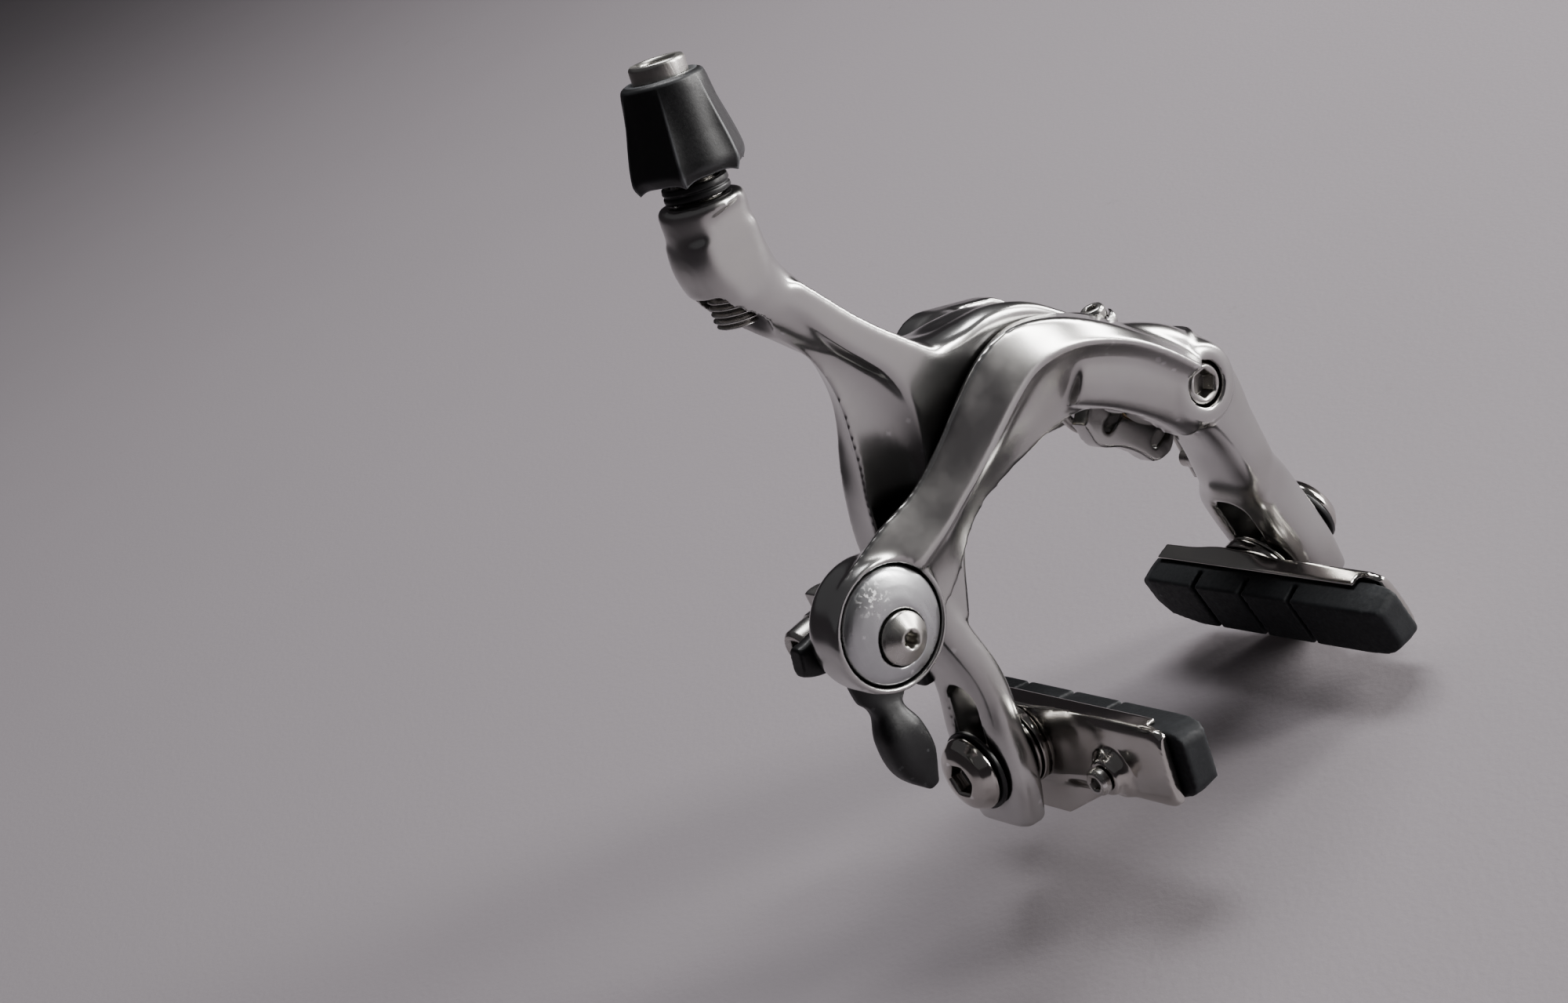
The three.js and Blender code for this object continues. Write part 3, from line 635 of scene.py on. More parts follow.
knobSkin = makeMoulded("knobPlastic", {
    # dust colour: on the knob it also paints the grey sheen of the panels
    "colour": (0.008, 0.0082, 0.009), "dustAndSheen": (0.03, 0.03, 0.032), "dustAndSheenShare": 0.4,
    # pale edge colour: partly wear and partly a painted highlight along the knob's panel ridges
    "paleEdge": (0.20, 0.21, 0.22), "paleEdgeShare": 0.7,
    "edge": (0.506, 0.535), "patchy": 0.45, "grain": 2400.0, "bump": 0.14,
    "rough": (0.36, 0.48), "shine": 0.5})
rubber = makeMoulded("brakeRubber", {
    "colour": (0.009, 0.0105, 0.0125), "dustAndSheen": (0.034, 0.038, 0.042), "dustAndSheenShare": 0.5,
    "paleEdge": (0.12, 0.125, 0.13), "paleEdgeShare": 0.6,
    "edge": (0.52, 0.60), "patchy": 0.7, "grain": 1500.0, "bump": 0.35,
    "rough": (0.55, 0.75), "shine": 0.35})
print("materials made")


# Places that several pieces share, in mm; angles in radians
sidePivot = np.array([28.1, 0.0, -7.7])
bossAt = np.array([-41.9, 0.0, -1.5])
spindleAt = np.array([-42.0, 0.0, -3.4])
barrelLean = math.radians(12.2)
barrelAxis = unit(math.sin(barrelLean), 0, math.cos(barrelLean))
barrelAt = np.array([-29.4, -26.3, 63.3])
shoeTilt = math.radians(10.6)
shoes = {
    "near": {"sign": 1, "at": (-22.2, -25.2, -40.2), "legIn": 5.2, "legOut": 11.4},
    "far": {"sign": -1, "at": (29.3, -22.8, -50.0), "legIn": 5.2, "legOut": 15.6},
}
slotSize = {"radius": 3.3, "travel": 11.0}
boltBack = 8.3  # how far a shoe's bolt stands behind the middle of its holder
padScrewHeight = -2  # the pad screw's height above the holder's middle line


# a shoe's axes: towards the rim, and up along the slot
def shoeAxes(shoe):
    toRim = unit(shoe["sign"] * math.cos(shoeTilt), 0, -math.sin(shoeTilt))
    up = unit(shoe["sign"] * math.sin(shoeTilt), 0, math.cos(shoeTilt))
    return toRim, up


# the point at a depth, a y and a height in a shoe's own directions
def shoePoint(shoe, depth, y, height):
    toRim, up = shoeAxes(shoe)
    p = np.array(shoe["at"], float) + depth * toRim + height * up
    p[1] = y
    return p


# a plain rod along an axis, from one height to another
def rodPiece(name, radius, start, end, at, axis=yAxis, segments=64):
    return turned(name, [[0, start], [radius, start], [radius, end], [0, end]], at, axis, segments, soft=0.0)


# how a leg's flat lower end is lofted: a maker of stations at a height along the slot, in the middle of
# the leg's thickness, and half that thickness
def legSections(shoe):
    middle = -(shoe["legIn"] + shoe["legOut"]) / 2
    half = (shoe["legOut"] - shoe["legIn"]) / 2
    station = lambda height, across, deep: [*shoePoint(shoe, middle, shoe["at"][1], height), across, deep]
    return station, half


# stadium-shaped cutter through a leg, along the direction of the rim
def slotCutter(name, shoe):
    toRim, up = shoeAxes(shoe)
    ring = capsule([0, 0, slotSize["radius"]], [0, slotSize["travel"], slotSize["radius"] - 0.001])
    base = np.array(shoe["at"], float)
    flat = base + ring[:, :1] * yAxis + ring[:, 1:] * up
    points = np.array([flat - 24 * toRim, flat + 8 * toRim])
    return meshPiece(name, points.reshape(-1, 3), gridFaces(2, len(ring)))


# C-arm: the band's edges as [x, z] along its run, with the depth in y of each
cArmShape = {
    "frontOuter": [(-46, 8.5), (-36, 11), (-27.7, 12.3), (-21.2, 15), (-15.5, 18), (-10, 20.6), (-4.6, 22.1),
                   (1.5, 21.5), (8.5, 18), (15, 12.9), (20.8, 7), (26, 0.8), (30.5, -6)],
    "ridge": [(-43, 0.5), (-35, 2.6), (-27.6, 4.4), (-22, 6.3), (-16.8, 8.2), (-11, 10.8), (-5.6, 13.3),
              (-0.4, 14.9), (5.8, 14.1), (12, 11.3), (17.9, 7.1), (22.6, 2.1), (26.7, -3.5)],
    "inner": [(-40, -7), (-32, -7), (-26, -5), (-20.5, -1.6), (-15.5, 0.4), (-10, 1), (-4, 1.4), (1.5, 1.5),
              (6.5, 1), (11, -0.8), (15, -4), (18.5, -9), (21.5, -14)],
    "backOuter": [(-44, 4), (-34, 7.6), (-27, 8.2), (-20.5, 10.2), (-14.5, 13.4), (-9, 16.6), (-3, 19),
                  (3.5, 19.6), (10.5, 17.2), (16.5, 13.2), (22.5, 7.6), (28, 1.4), (33, -5.6)],
    "frontY": -37.6, "ridgeY": -40.0,
    "innerY": [-36.5, -36.2, -35.2, -34, -33.4, -33, -33, -33, -33, -33, -32.5, -32, -31],
    "backY": -31.3, "backRise": 2.2, "scoop": 0.34,
    "shoulderFill": [[8, -33.6, 8.6, 5.6, 3.6], [17, -33.4, 3, 6.8, 3.8], [24.5, -33, -3.6, 7.6, 4.2],
                     [29, -32, -11.5, 6.8, 5]],
    "leg": [[26, -31.5, -2.5, 7.0, 4.8], [30.2, -30.6, -11, 6.6, 5.8], [32.1, -29.2, -19, 5.0, 6.5],
            [33.6, -27.5, -27.5, 4.6, 7.3]],
    "boss": [[0, -31], [9.4, -31], [10.2, -32.2], [10.2, -37.8], [9.9, -39.2], [0, -39.4]],
    "shoulder": [[0, -22.7], [6.8, -22.7], [7.2, -23.5], [7.2, -35.4], [6.2, -37.4], [0, -37.6]],
    "ledge": [[17, -27.5, -3.5, 2.5, 3], [21, -27.5, -4.5, 3.5, 3], [27, -27.5, -6.5, 4, 3]],
    "tensionScrewAt": [32.5, 0, -26.5],
}


# the band is a ribbon of five corners: front outer edge, ridge, inner edge, inner back and outer back;
# the leg is a loft from the shoulder to below its slot
def makeCArm():
    s = cArmShape
    row = lambda key, y: [(x, y, z) for x, z in s[key]]
    inner = [(x, y, z) for (x, z), y in zip(s["inner"], s["innerY"])]
    innerBack = [(x, s["backY"], z + s["backRise"]) for x, z in s["inner"]]
    band = ribbon("band", [row("frontOuter", s["frontY"]), row("ridge", s["ridgeY"]), inner, innerBack,
                           row("backOuter", s["backY"])], [0, s["scoop"], 0, 0, 0])
    shoe = shoes["far"]
    lower, half = legSections(shoe)
    leg = loft("leg", [*s["leg"], lower(13, half, 8.8), lower(0, half, 8.9), lower(-8.5, half - 0.6, 7.8)],
               steps=90, power=3.3)
    shoulderFill = loft("shoulderFill", s["shoulderFill"], 40, 40, 2.8)
    boss = turned("boss", s["boss"], bossAt, soft=0.8)
    shoulder = turned("shoulder", s["shoulder"], sidePivot, soft=1.2)
    ledge = loft("ledge", s["ledge"], 12, 24)
    cutters = [
        rodPiece("capSeat", 9.1, -50, -36.8, bossAt), rodPiece("spindleBore", 4.1, -50, -20, spindleAt),
        rodPiece("pivotBore", 4.5, -33.2, -20, sidePivot), rodPiece("counterbore", 3.7, -50, -33, sidePivot),
        rodPiece("screwBore", 1.9, -27, 0, s["tensionScrewAt"]), slotCutter("slotTool", shoe)]
    arm = forged("cArmSkin", [band, leg, shoulderFill, boss, shoulder, ledge], cutters, 0.36, 16)
    dress(arm, "c_arm", "c_arm_group", satin)


# Y-arm: edges as [x, z] of the flank that runs down the leg and of the crest that ends at the link
yArmShape = {
    "flankFront": [(-30, 47), (-26.8, 41.6), (-24.7, 36.8), (-22.6, 32.7), (-20.4, 29.2), (-18.3, 25.4),
                   (-17.3, 20.9), (-17.7, 16), (-19, 11.4), (-21.8, 5), (-25.4, -3.5), (-28.4, -12)],
    "flankEdge": [(-33.5, 46.8), (-31, 42), (-29, 38.4), (-27.3, 35), (-26.2, 31.6), (-25.9, 28),
                  (-26.2, 24.4), (-27, 20.6), (-28.2, 15.4), (-30.4, 8.4), (-32, -0.5), (-32.2, -13)],
    "flankBack": [(-30.5, 46.5), (-27.9, 42.5), (-25.7, 39), (-23.7, 35.4), (-22.4, 31.5), (-22, 27),
                  (-22.5, 22.9), (-24, 19), (-26, 15.4), (-28.4, 9.8), (-30.6, 1), (-31.4, -13)],
    "bodyBack": [(-24, 46), (-21.6, 42), (-18.6, 36.8), (-15.6, 32.4), (-12.5, 28.4), (-8.5, 23), (-6, 17),
                 (-6.4, 11), (-9.5, 5.6), (-15, 0.6), (-20.5, -5), (-25.2, -14)],
    "ridge": [(-27.5, 50), (-21.2, 36.8), (-17.6, 30.8), (-13.6, 26), (-9.4, 23.3), (-4.7, 22.1), (0.9, 21.9),
              (6.1, 20.8), (10.6, 18.3), (15.3, 13.8)],
    "top": [(-24.5, 49.5), (-18, 36.6), (-14.2, 30.8), (-10.2, 26.6), (-5.8, 24.3), (-0.6, 23.2), (4, 22.1),
            (8, 20), (12, 17.1), (16, 13)],
    "topBack": [(-25.5, 47.5), (-19.4, 35.4), (-15.4, 29.4), (-11.2, 25.6), (-6.6, 23.2), (-1.4, 22.2),
                (4, 20.8), (8, 18.8), (12, 15.8), (15.5, 11.6)],
    "inside": [(-28.5, 47.5), (-23, 34), (-19, 27), (-15, 20), (-10, 14), (-5, 11), (0, 9.5), (5, 9),
               (10, 8.5), (14, 8)],
    "frontY": -30.9, "edgeY": -27.4, "backY": -19.0, "topY": -25.0, "topBackY": -17.5,
    "flankScoop": 0.26, "crestSwell": -0.22,
    "lowerLeg": [[-26.6, -24.9, 0, 4.8, 6.0], [-28.9, -25, -10.5, 3.5, 6.2]],
    "barrelBoss": [[0, -16], [5.2, -16], [6.1, -10], [6.35, -4], [6.5, -0.9], [5.9, 0], [0, 0]],
    "elbow": [[-31.1, -26.2, 54, 6.5, 6.1], [-30.0, -26.1, 48.6, 6.1, 5.4], [-26.3, -25.6, 42.8, 4.7, 4.9],
              [-22.3, -24.9, 36.6, 4.1, 4.6], [-17.4, -24.2, 30, 4, 4.4]],
    "dome": [[0.8, -28.8, 11.2, 10.2, 9.8], [1.2, -22, 11.4, 10.2, 10.2], [2.4, -15, 12.2, 8.8, 8.8],
             [2.6, -8.3, 13.4, 7.5, 7.5]],
    "tail": [[-4, -23.5, 13.5, 6, 6.6], [8, -25, 12, 5.2, 5.2], [16, -25.8, 8.9, 3.8, 4],
             [24.5, -25.6, 5.9, 2.8, 3.2]],
    "linkAt": [22.6, -25.9, -0.1],
}


# the limb's flank runs on down the leg as one ribbon: flat front, scooped flank with a thin edge, plain back;
# a second ribbon carries the ridge along the top and fills the flat front up to it
def makeYArm():
    s = yArmShape
    row = lambda key, y: [(x, y, z) for x, z in s[key]]
    flow = ribbon("flow", [row("flankFront", s["frontY"]), row("flankEdge", s["edgeY"]),
                           row("flankBack", s["backY"]), row("bodyBack", s["backY"]),
                           row("bodyBack", s["frontY"])], [s["flankScoop"], 0.04, 0, 0, 0],
                  120, 12)
    crest = ribbon("crest", [row("ridge", s["frontY"]), row("top", s["topY"]), row("topBack", s["topBackY"]),
                             row("inside", s["topBackY"]), row("inside", s["frontY"])],
                   [s["crestSwell"], -0.12, 0, 0, 0], 120, 12)
    shoe = shoes["near"]
    lower, half = legSections(shoe)
    lowerLeg = loft("lowerLeg", [*s["lowerLeg"], lower(15, half, 7.0), lower(5, half, 7.8),
                                 lower(-3, half, 8.0), lower(-10.4, half - 0.4, 6.2)], steps=90, power=3.6)
    boss = turned("barrelBoss", s["barrelBoss"], barrelAt, barrelAxis, soft=0.9)
    elbow = loft("elbow", [[*(barrelAt - 5 * barrelAxis), 6.3, 6.2], *s["elbow"]], 80, 48, 2.7)
    dome = alongY("dome", s["dome"])
    hub = rodPiece("hub", 7.2, -13, -6.7, [0, 0, 0])
    webs = [capsuleBlock("web", [0, 0, 7], [2.6, 13.6, 7.5], -13, -8.3),
            capsuleBlock("webSide", [2.6, 13.6, 7.5], [12.5, 11, 6.2], -13, -8.3)]
    tail = loft("tail", s["tail"], 30, 32, 2.6)
    tubeRoom = [rodPiece("tubeRoom", 4.3, -30, -13.2, barrelAt + np.array([step, 0, 0]), barrelAxis)
                for step in (0, -2, -4, -6)]
    facet = boxPiece("facet", (-46, -22), (-40, -31.5), (46, 61.8))
    cutters = [
        facet, rodPiece("nutRoom", 6.6, -40, -13, [0, 0, 0]), rodPiece("centreBore", 4.9, -16, 0, [0, 0, 0]),
        rodPiece("barrelBore", 3.8, -40, 5, barrelAt, barrelAxis),
        rodPiece("screwBore", 1.9, 0, 30, s["linkAt"], zAxis),
        rodPiece("screwSeat", 2.6, 7.6, 30, s["linkAt"], zAxis), slotCutter("slotTool", shoe), *tubeRoom]
    arm = forged("yArmSkin", [flow, crest, lowerLeg, boss, elbow, dome, hub, tail, *webs], cutters, 0.36, 18)
    dress(arm, "y_arm", "y_arm_group", satin)


# loft of upright ellipses along y, through stations [x, y, z, half in x, half in z]
def alongY(name, stations, steps=40, sides=48):
    s = through(stations, steps)
    a = np.linspace(0, 2 * np.pi, sides, endpoint=False)
    points = (s[:, None, :3] + (s[:, 3:4] * np.cos(a))[..., None] * np.array([1.0, 0, 0])
              + (s[:, 4:5] * np.sin(a))[..., None] * zAxis)
    return meshPiece(name, points.reshape(-1, 3), gridFaces(steps, sides))


makeCArm()
print("C-arm made")
makeYArm()
print("Y-arm made")


# ring profile between two radii and two heights, closed on itself
def ringProfile(inner, outer, start, end):
    return [[inner, start], [outer, start], [outer, end], [inner, end], [inner, start]]


# bolts, nuts, washers and bushes of the two pivots, and the two adjusting screws
def makePivots():
    zero = [0, 0, 0]
    bolt = turned("mountingBoltRod", [[0, -17.2], [2.6, -17.2], [3, -16.7], [3, 10], [0, 10]], zero)
    dress(bolt, "mounting_bolt", "bracket", steel)
    nut = turned("pivotNut", [[3.0, -16.9], [3.9, -16.9, 0.2], [4.6, -16.5, 1], [4.6, -14.5, 1],
                              [4.1, -14.1, 0.4], [3.0, -14.1], [3.0, -16.9]], zero, segments=72)
    dress(nut, "centre_pivot_nut", "bracket", steel)
    rings = [
        ("front_thrust_washer", "bracket", brass, "brass", zero, ringProfile(3.3, 6, -13.8, -13.3)),
        ("rear_thrust_washer", "bracket", brass, "brass", zero, ringProfile(3.3, 6.6, -6.4, -5.8)),
        ("centre_pivot_bush", "y_arm_group", brass, "brass", zero, ringProfile(3.3, 4.6, -13, -6.7)),
        ("crown_washer", "bracket", steel, "steel", zero, ringProfile(3.3, 8, -1.5, 0)),
        ("side_pivot_bush", "c_arm_group", brass, "brass", sidePivot, ringProfile(2.9, 4.2, -32.9, -23)),
        ("side_thrust_washer", "bracket", brass, "brass", sidePivot, ringProfile(2.9, 6.6, -22.4, -21.8)),
    ]
    for node, body, material, slotName, at, profile in rings:
        dress(turned(node + "Ring", profile, at, soft=0.12, segments=72), node, body, material)
    recessed = turned("recessedNutBody", [
        [0, 10.2], [2.9, 10.2, 1], [2.9, 13.5, 1], [3.3, 13.8, 0.2], [4.5, 13.8], [5, 13.3], [5, 12.6],
        [4.1, 12.2], [4, 2], [3.3, 2], [3.3, 9.9], [0, 9.9]], zero, segments=72)
    dress(recessed, "recessed_nut", "bracket", steel)
    side = turned("sidePivotBoltBody", [
        [0, -34.6], [2.07, -34.6, 1], [2.3, -36.75, 1], [2.576, -37, 0.3], [2.9, -37], [3.3, -36.6],
        [3.3, -33.5], [2.6, -33.4], [2.6, -8], [0, -8]], sidePivot, segments=72, soft=0.15)
    dress(side, "side_pivot_bolt", "bracket", steel)
    centring = turned("centringScrewBody",
                      [[0, 8.7], [0.9, 8.7, 1], [0.95, 10, 1], [1.3, 10.1], [1.75, 10.0], [2.1, 9.5],
                                            [2.1, 8.1], [1.6, 7.9], [1.6, 0], [0, 0]],
                      yArmShape["linkAt"], zAxis, segments=72, soft=0.15)
    dress(centring, "centring_screw", "centring", steel)
    tension = turned("tensionScrewBody", [[0, -26.7], [1.3, -26.7], [1.6, -26.4], [1.6, -17.9], [1.3, -17.6],
                                          [0, -17.6]],
                     cArmShape["tensionScrewAt"], soft=0.1)
    dress(tension, "spring_tension_screw", "spring_tension", steel)


makePivots()
print("pivots made")


# Quick release, in mm: the cap's and the screw's profiles [radius, y, share of star], and the lever's arm
# and wing as stations [x, y, z, half across, half in y]
releaseShape = {
    "cap": [[0, -37.1], [8.55, -37.1], [8.8, -37.4], [8.8, -38.4], [8.45, -38.95], [7.6, -39.4],
            [6.2, -39.8], [4.2, -40.15], [0, -40.3]],
    "screw": [[0, -39.6], [1.15, -39.6, 1], [1.25, -41.95, 1], [1.5, -42.2, 0.2], [1.8, -42.15],
              [3.8, -40.75], [4, -40.4], [4, -38], [2.4, -38], [2.4, -33], [0, -33]],
    "leverArm": [[-42.8, -29.1, -7.4, 5.4, 1.5], [-43.9, -29.1, -13.6, 4.4, 1.6],
                 [-44.6, -29.4, -16.4, 2.6, 1.9], [-45, -29.8, -20.5, 3.7, 2.9], [-45, -29.8, -26, 3.6, 2.8],
                 [-44.2, -29.8, -31.4, 1.0, 1.0]],
    "leverWing": [[-43, -29.1, -2.4, 4.5, 1.5], [-50, -29.1, -1.9, 3.2, 1.6], [-53.5, -29.1, -0.9, 2.2, 1.6]],
    "clampAt": [-42.9, -23.1, -3.4],
}


# cap, screw, spindle, cable clamp and lever; the lever is one skin over its eye, arm and wing
def makeRelease():
    s = releaseShape
    dome = turned("coverCapDome", s["cap"], bossAt, segments=96, soft=0.35)
    cap = forged("coverCap", [dome], [rodPiece("screwHole", 4.3, -45, -30, spindleAt, segments=96)], 0.22, 5)
    dress(cap, "cover_cap", "c_arm_group", capSkin)
    screw = turned("coverScrewBody", s["screw"], spindleAt, segments=96, soft=0.14, flats=0)
    dress(screw, "cover_screw", "c_arm_group", turnedSteel)
    stem = rodPiece("stem", 3.7, -36.4, -26.5, spindleAt)
    head = turned("head", [[0, -26.8], [5.8, -26.8], [6.2, -26.4], [6.2, -20.9], [5.8, -20.5], [0, -20.5]],
                  spindleAt)
    trim = boxPiece("trim", (-60, -42.9), (-40, -10), (-20, 20))
    dress(forged("clampSpindle", [stem, head], [trim], 0.25, 3), "clamp_spindle", "c_arm_group", steel)
    clampAt, towards = s["clampAt"], np.array([-1.0, 0, 0])
    dress(turned("cableWasherRing", ringProfile(2.7, 4, 0.9, 2), clampAt, towards), "cable_washer",
          "c_arm_group", steel)
    anchor = turned("anchorBolt", [[0, 3.4], [2.3, 3.4, 1], [2.5, 6.3, 1], [2.9, 6.6, 0.2], [3.3, 6.6],
                                   [3.8, 6], [3.8, 2.3], [2.4, 2.3], [2.4, -7], [0, -7]], clampAt, towards,
                    segments=72)
    dress(anchor, "cable_anchor_bolt", "c_arm_group", steel)
    eye = turned("eye", ringProfile(4.0, 7.4, -30.7, -27.4), spindleAt, soft=0.5)
    arm = loft("leverArm", s["leverArm"], 80, 40, 3.4)
    wing = loft("leverWing", s["leverWing"], 30, 32, 3.4)
    lever = forged("leverBody", [eye, arm, wing], [rodPiece("leverBore", 4, -40, -20, spindleAt)], 0.25, 3)
    dress(lever, "quick_release_lever", "release_lever", black)


# Knob: number of panels, depth of their scoop, hang of its rim in mm, and turn of the first panel
knobShape = {"panels": 6, "scoop": 0.75, "hang": 0.8, "phase": 0.35}


# the knob's radius is its profile's, less a scoop that is deepest mid-panel and dies out at the top;
# its lower rim hangs further down at the corners between panels
def makeKnob():
    s = knobShape
    rows, cols = 64, 240
    profile = through([[8.3, 2.9], [8.95, 4.4], [8.75, 6.5], [8.2, 9], [7.4, 12], [6.75, 14.6], [6.35, 16.2],
                       [5.9, 17.2], [5.2, 17.6]], rows)
    angle = np.linspace(0, 2 * np.pi, cols, endpoint=False)
    step = 2 * np.pi / s["panels"]
    across = ((angle + s["phase"]) % step) / step * 2 - 1
    scoop = 1 - np.abs(across) ** 4
    rise = np.clip((17.0 - profile[:, 1]) / 7.5, 0, 1) ** 0.8
    r = profile[:, :1] - s["scoop"] * rise[:, None] * scoop[None]
    low = np.clip((7.0 - profile[:, 1]) / 4.1, 0, 1)
    h = profile[:, 1:2] + s["hang"] * low[:, None] * scoop[None]
    inner = np.array([[4.4, 17.6], [4.4, 16.4], [3.8, 16.4], [3.8, 3.6], [5.5, 3.4], [7.3, 3.9]])
    r = np.vstack([r, np.repeat(inner[:, :1], cols, 1)])
    hung = s["hang"] * np.array([0, 0, 0, 0, 0, 1])[:, None] * scoop
    h = np.vstack([h, np.repeat(inner[:, 1:], cols, 1) + hung])
    points = roundAxis(barrelAt, barrelAxis, r, h, angle)
    knob = meshPiece("knobBody", points.reshape(-1, 3), gridFaces(len(r), cols, "joined"))
    dress(knob, "adjuster_knob", "barrel_knob", knobSkin)


# Tube: heights of its ends, radii of its outside and bore, pitch and depth of its thread, and lead-in, in mm
tubeShape = {"low": -19, "high": 16.3, "outer": 3.5, "bore": 2.2, "pitch": 1.0, "depth": 0.75, "leadIn": 0.8}


# the tube's outside is a helical groove: its radius falls and rises once per turn and per pitch
def makeTube():
    s = tubeShape
    rows, cols = 290, 64
    h = np.linspace(s["low"], s["high"], rows)
    angle = np.linspace(0, 2 * np.pi, cols, endpoint=False)
    saw = np.abs(((h[:, None] / s["pitch"] - angle[None] / (2 * np.pi)) % 1) * 2 - 1)
    fade = np.clip((h - s["low"]) / s["leadIn"], 0, 1)[:, None]
    r = s["outer"] - s["depth"] * np.clip(saw * 1.3 - 0.2, 0, 1) - 0.5 * (1 - fade)
    bore = np.full((1, cols), s["bore"])
    r = np.vstack([bore, r, bore])
    h = np.concatenate([[s["low"]], h, [s["high"]]])
    points = roundAxis(barrelAt, barrelAxis, r, h[:, None], angle)
    tube = meshPiece("tubeThread", points.reshape(-1, 3), gridFaces(len(r), cols, "joined"))
    dress(tube, "adjuster_tube", "barrel_knob", turnedSteel)


# the barrel adjuster: seal, knob, threaded tube and ferrule
def makeBarrel():
    seal = turned("sealRing", [[3.8, 0.3], [4.7, 0.3], [4.9, 0.6], [4.9, 1.1], [4.6, 1.4], [4.9, 1.7],
                               [4.8, 2.5], [3.8, 2.5], [3.8, 0.3]], barrelAt, barrelAxis, soft=0.15)
    dress(seal, "adjuster_seal", "y_arm_group", black)
    makeKnob()
    makeTube()
    ferrule = turned("ferruleRing", [[2.5, 16.7], [4.05, 16.7], [4.1, 16.9], [4.1, 19.6], [3.8, 20],
                                     [2.9, 20], [2.5, 19.6], [2.5, 16.7]], barrelAt, barrelAxis, segments=96,
                     soft=0.2)
    dress(ferrule, "adjuster_ferrule", "barrel_ferrule", turnedSteel)


makeRelease()
print("quick release made")
makeBarrel()
print("barrel adjuster made")


# points in a shoe's own directions, depth, forward and height, with forward 0 at the CAD holder's middle
def fromShoe(shoe, points):
    p = np.asarray(points, float)
    toRim, up = shoeAxes(shoe)
    base = np.array([shoe["at"][0], shoe["at"][1] - boltBack, shoe["at"][2]])
    return base + p[..., :1] * toRim - p[..., 1:2] * yAxis + p[..., 2:] * up


# a closed body from rings of [depth, forward, height], one ring per station
def shoeBody(name, shoe, rings):
    rings = np.asarray(rings, float)
    return meshPiece(name, fromShoe(shoe, rings).reshape(-1, 3), gridFaces(rings.shape[0], rings.shape[1]))


# block between two corners in the shoe's own directions
def shoeBlock(name, shoe, low, high):
    (a, b, c), (d, e, f) = low, high
    return shoeBody(name, shoe, [[[a, y, c], [d, y, c], [d, y, f], [a, y, f]] for y in (b, e)])


# Holder, in mm: its ends, half height, the bolt seat's collar and radius, and where the pad screw stands
holderShape = {"front": 24.5, "back": -25.5, "half": 6.6, "collar": 0.9, "seat": 7.1, "screw": 12.0}


# the plate bulges in a low ridge along its length and swells into a collar round the bolt's seat
def holderPlate(name, shoe):
    s = holderShape
    rows, cols = 120, 26
    y = np.linspace(s["back"], s["front"], rows)
    end = np.sqrt(np.clip(1 - np.abs(np.clip((np.abs(y) - 20.5) / 5.2, 0, 1)) ** 3.2, 0, 1))
    t = np.linspace(-1, 1, cols)
    height = s["half"] * (0.35 + 0.65 * end)[:, None] * t[None]
    away = np.hypot(y[:, None] + boltBack, height)
    swell = s["collar"] * np.exp(-((away - s["seat"]) / 3.2) ** 2)
    crown = 0.35 * (1 - t[None] ** 2)
    outer = -1.6 - crown - swell + 0.5 * np.abs(t[None]) ** 6
    inner = np.broadcast_to(0 * outer, outer.shape)
    yy = np.broadcast_to(y[:, None], outer.shape)
    ring = np.concatenate([np.stack([outer, yy, height], -1), np.stack([inner, yy, height], -1)[:, ::-1]], 1)
    return shoeBody(name, shoe, ring)


# the holder's plate, two lips, guide fin and pad screw's post as one skin, bored for the bolt and screw
def makeHolder(key, shoe):
    plate = holderPlate("plate", shoe)
    lipTop = shoeBlock("lip", shoe, [-1.2, -24.5, 5.75], [2, 20.5, 6.6])
    lipLow = shoeBlock("lip", shoe, [-1.2, -24.5, -6.6], [2, 20.5, -5.75])
    fin = meshPiece("fin", fromShoe(shoe, np.array([
        [[d, 9.5, -6], [d, -14.5, -6], [d, -13.6, -8], [d, -9.5, -12.2], [d, -2.5, -12.2]]
        for d in (-1.9, -0.7)])).reshape(-1, 3), gridFaces(2, 5))
    toRim = shoeAxes(shoe)[0]
    postAt = fromShoe(shoe, [0, holderShape["screw"], padScrewHeight])
    post = turned("post", [[0, -4.2], [2.8, -4.2], [3.1, -3.8], [3.2, -3.0], [3.7, -2.3], [4.6, -1.7],
                           [5, -1], [0, -1]],
                  postAt, toRim, soft=0.3)
    cutters = [rodPiece("seatTool", 7.0, -9, -2.35, shoe["at"], toRim),
               rodPiece("boltHole", 3.2, -9, 4, shoe["at"], toRim),
               rodPiece("screwHole", 1.25, -9, 4, postAt, toRim, 32)]
    holder = forged(key + "HolderSkin", [plate, lipTop, lipLow, fin, post], cutters, 0.26, 5)
    dress(holder, key + "_shoe_holder", key + "_shoe", chrome)


# Pad, in mm: for each station along it the lowest and highest edge and the rim face's depth; the depth of
# its back, and where its grooves are, how deep they start and half how wide they are
padShape = {
    "along": [-27.5, -27.2, -24.5, -18, 0, 14, 20, 23.2, 25.2, 26.5, 27.0],
    "low": [-1.4, -2.2, -4.2, -5.7, -5.7, -5.7, -5.7, -5.6, -5.2, -4.5, -3.6],
    "high": [3.4, 4.2, 5.6, 5.7, 5.7, 5.7, 5.7, 5.6, 5.3, 4.7, 3.8],
    "deep": [5.1, 5.5, 6.1, 6.3, 6.3, 6.3, 6.3, 6.2, 5.9, 5.4, 4.8],
    "inner": 0.35, "grooves": (-13.5, -2.5, 8.5), "grooveFrom": 2.9, "grooveHalf": 0.5,
}


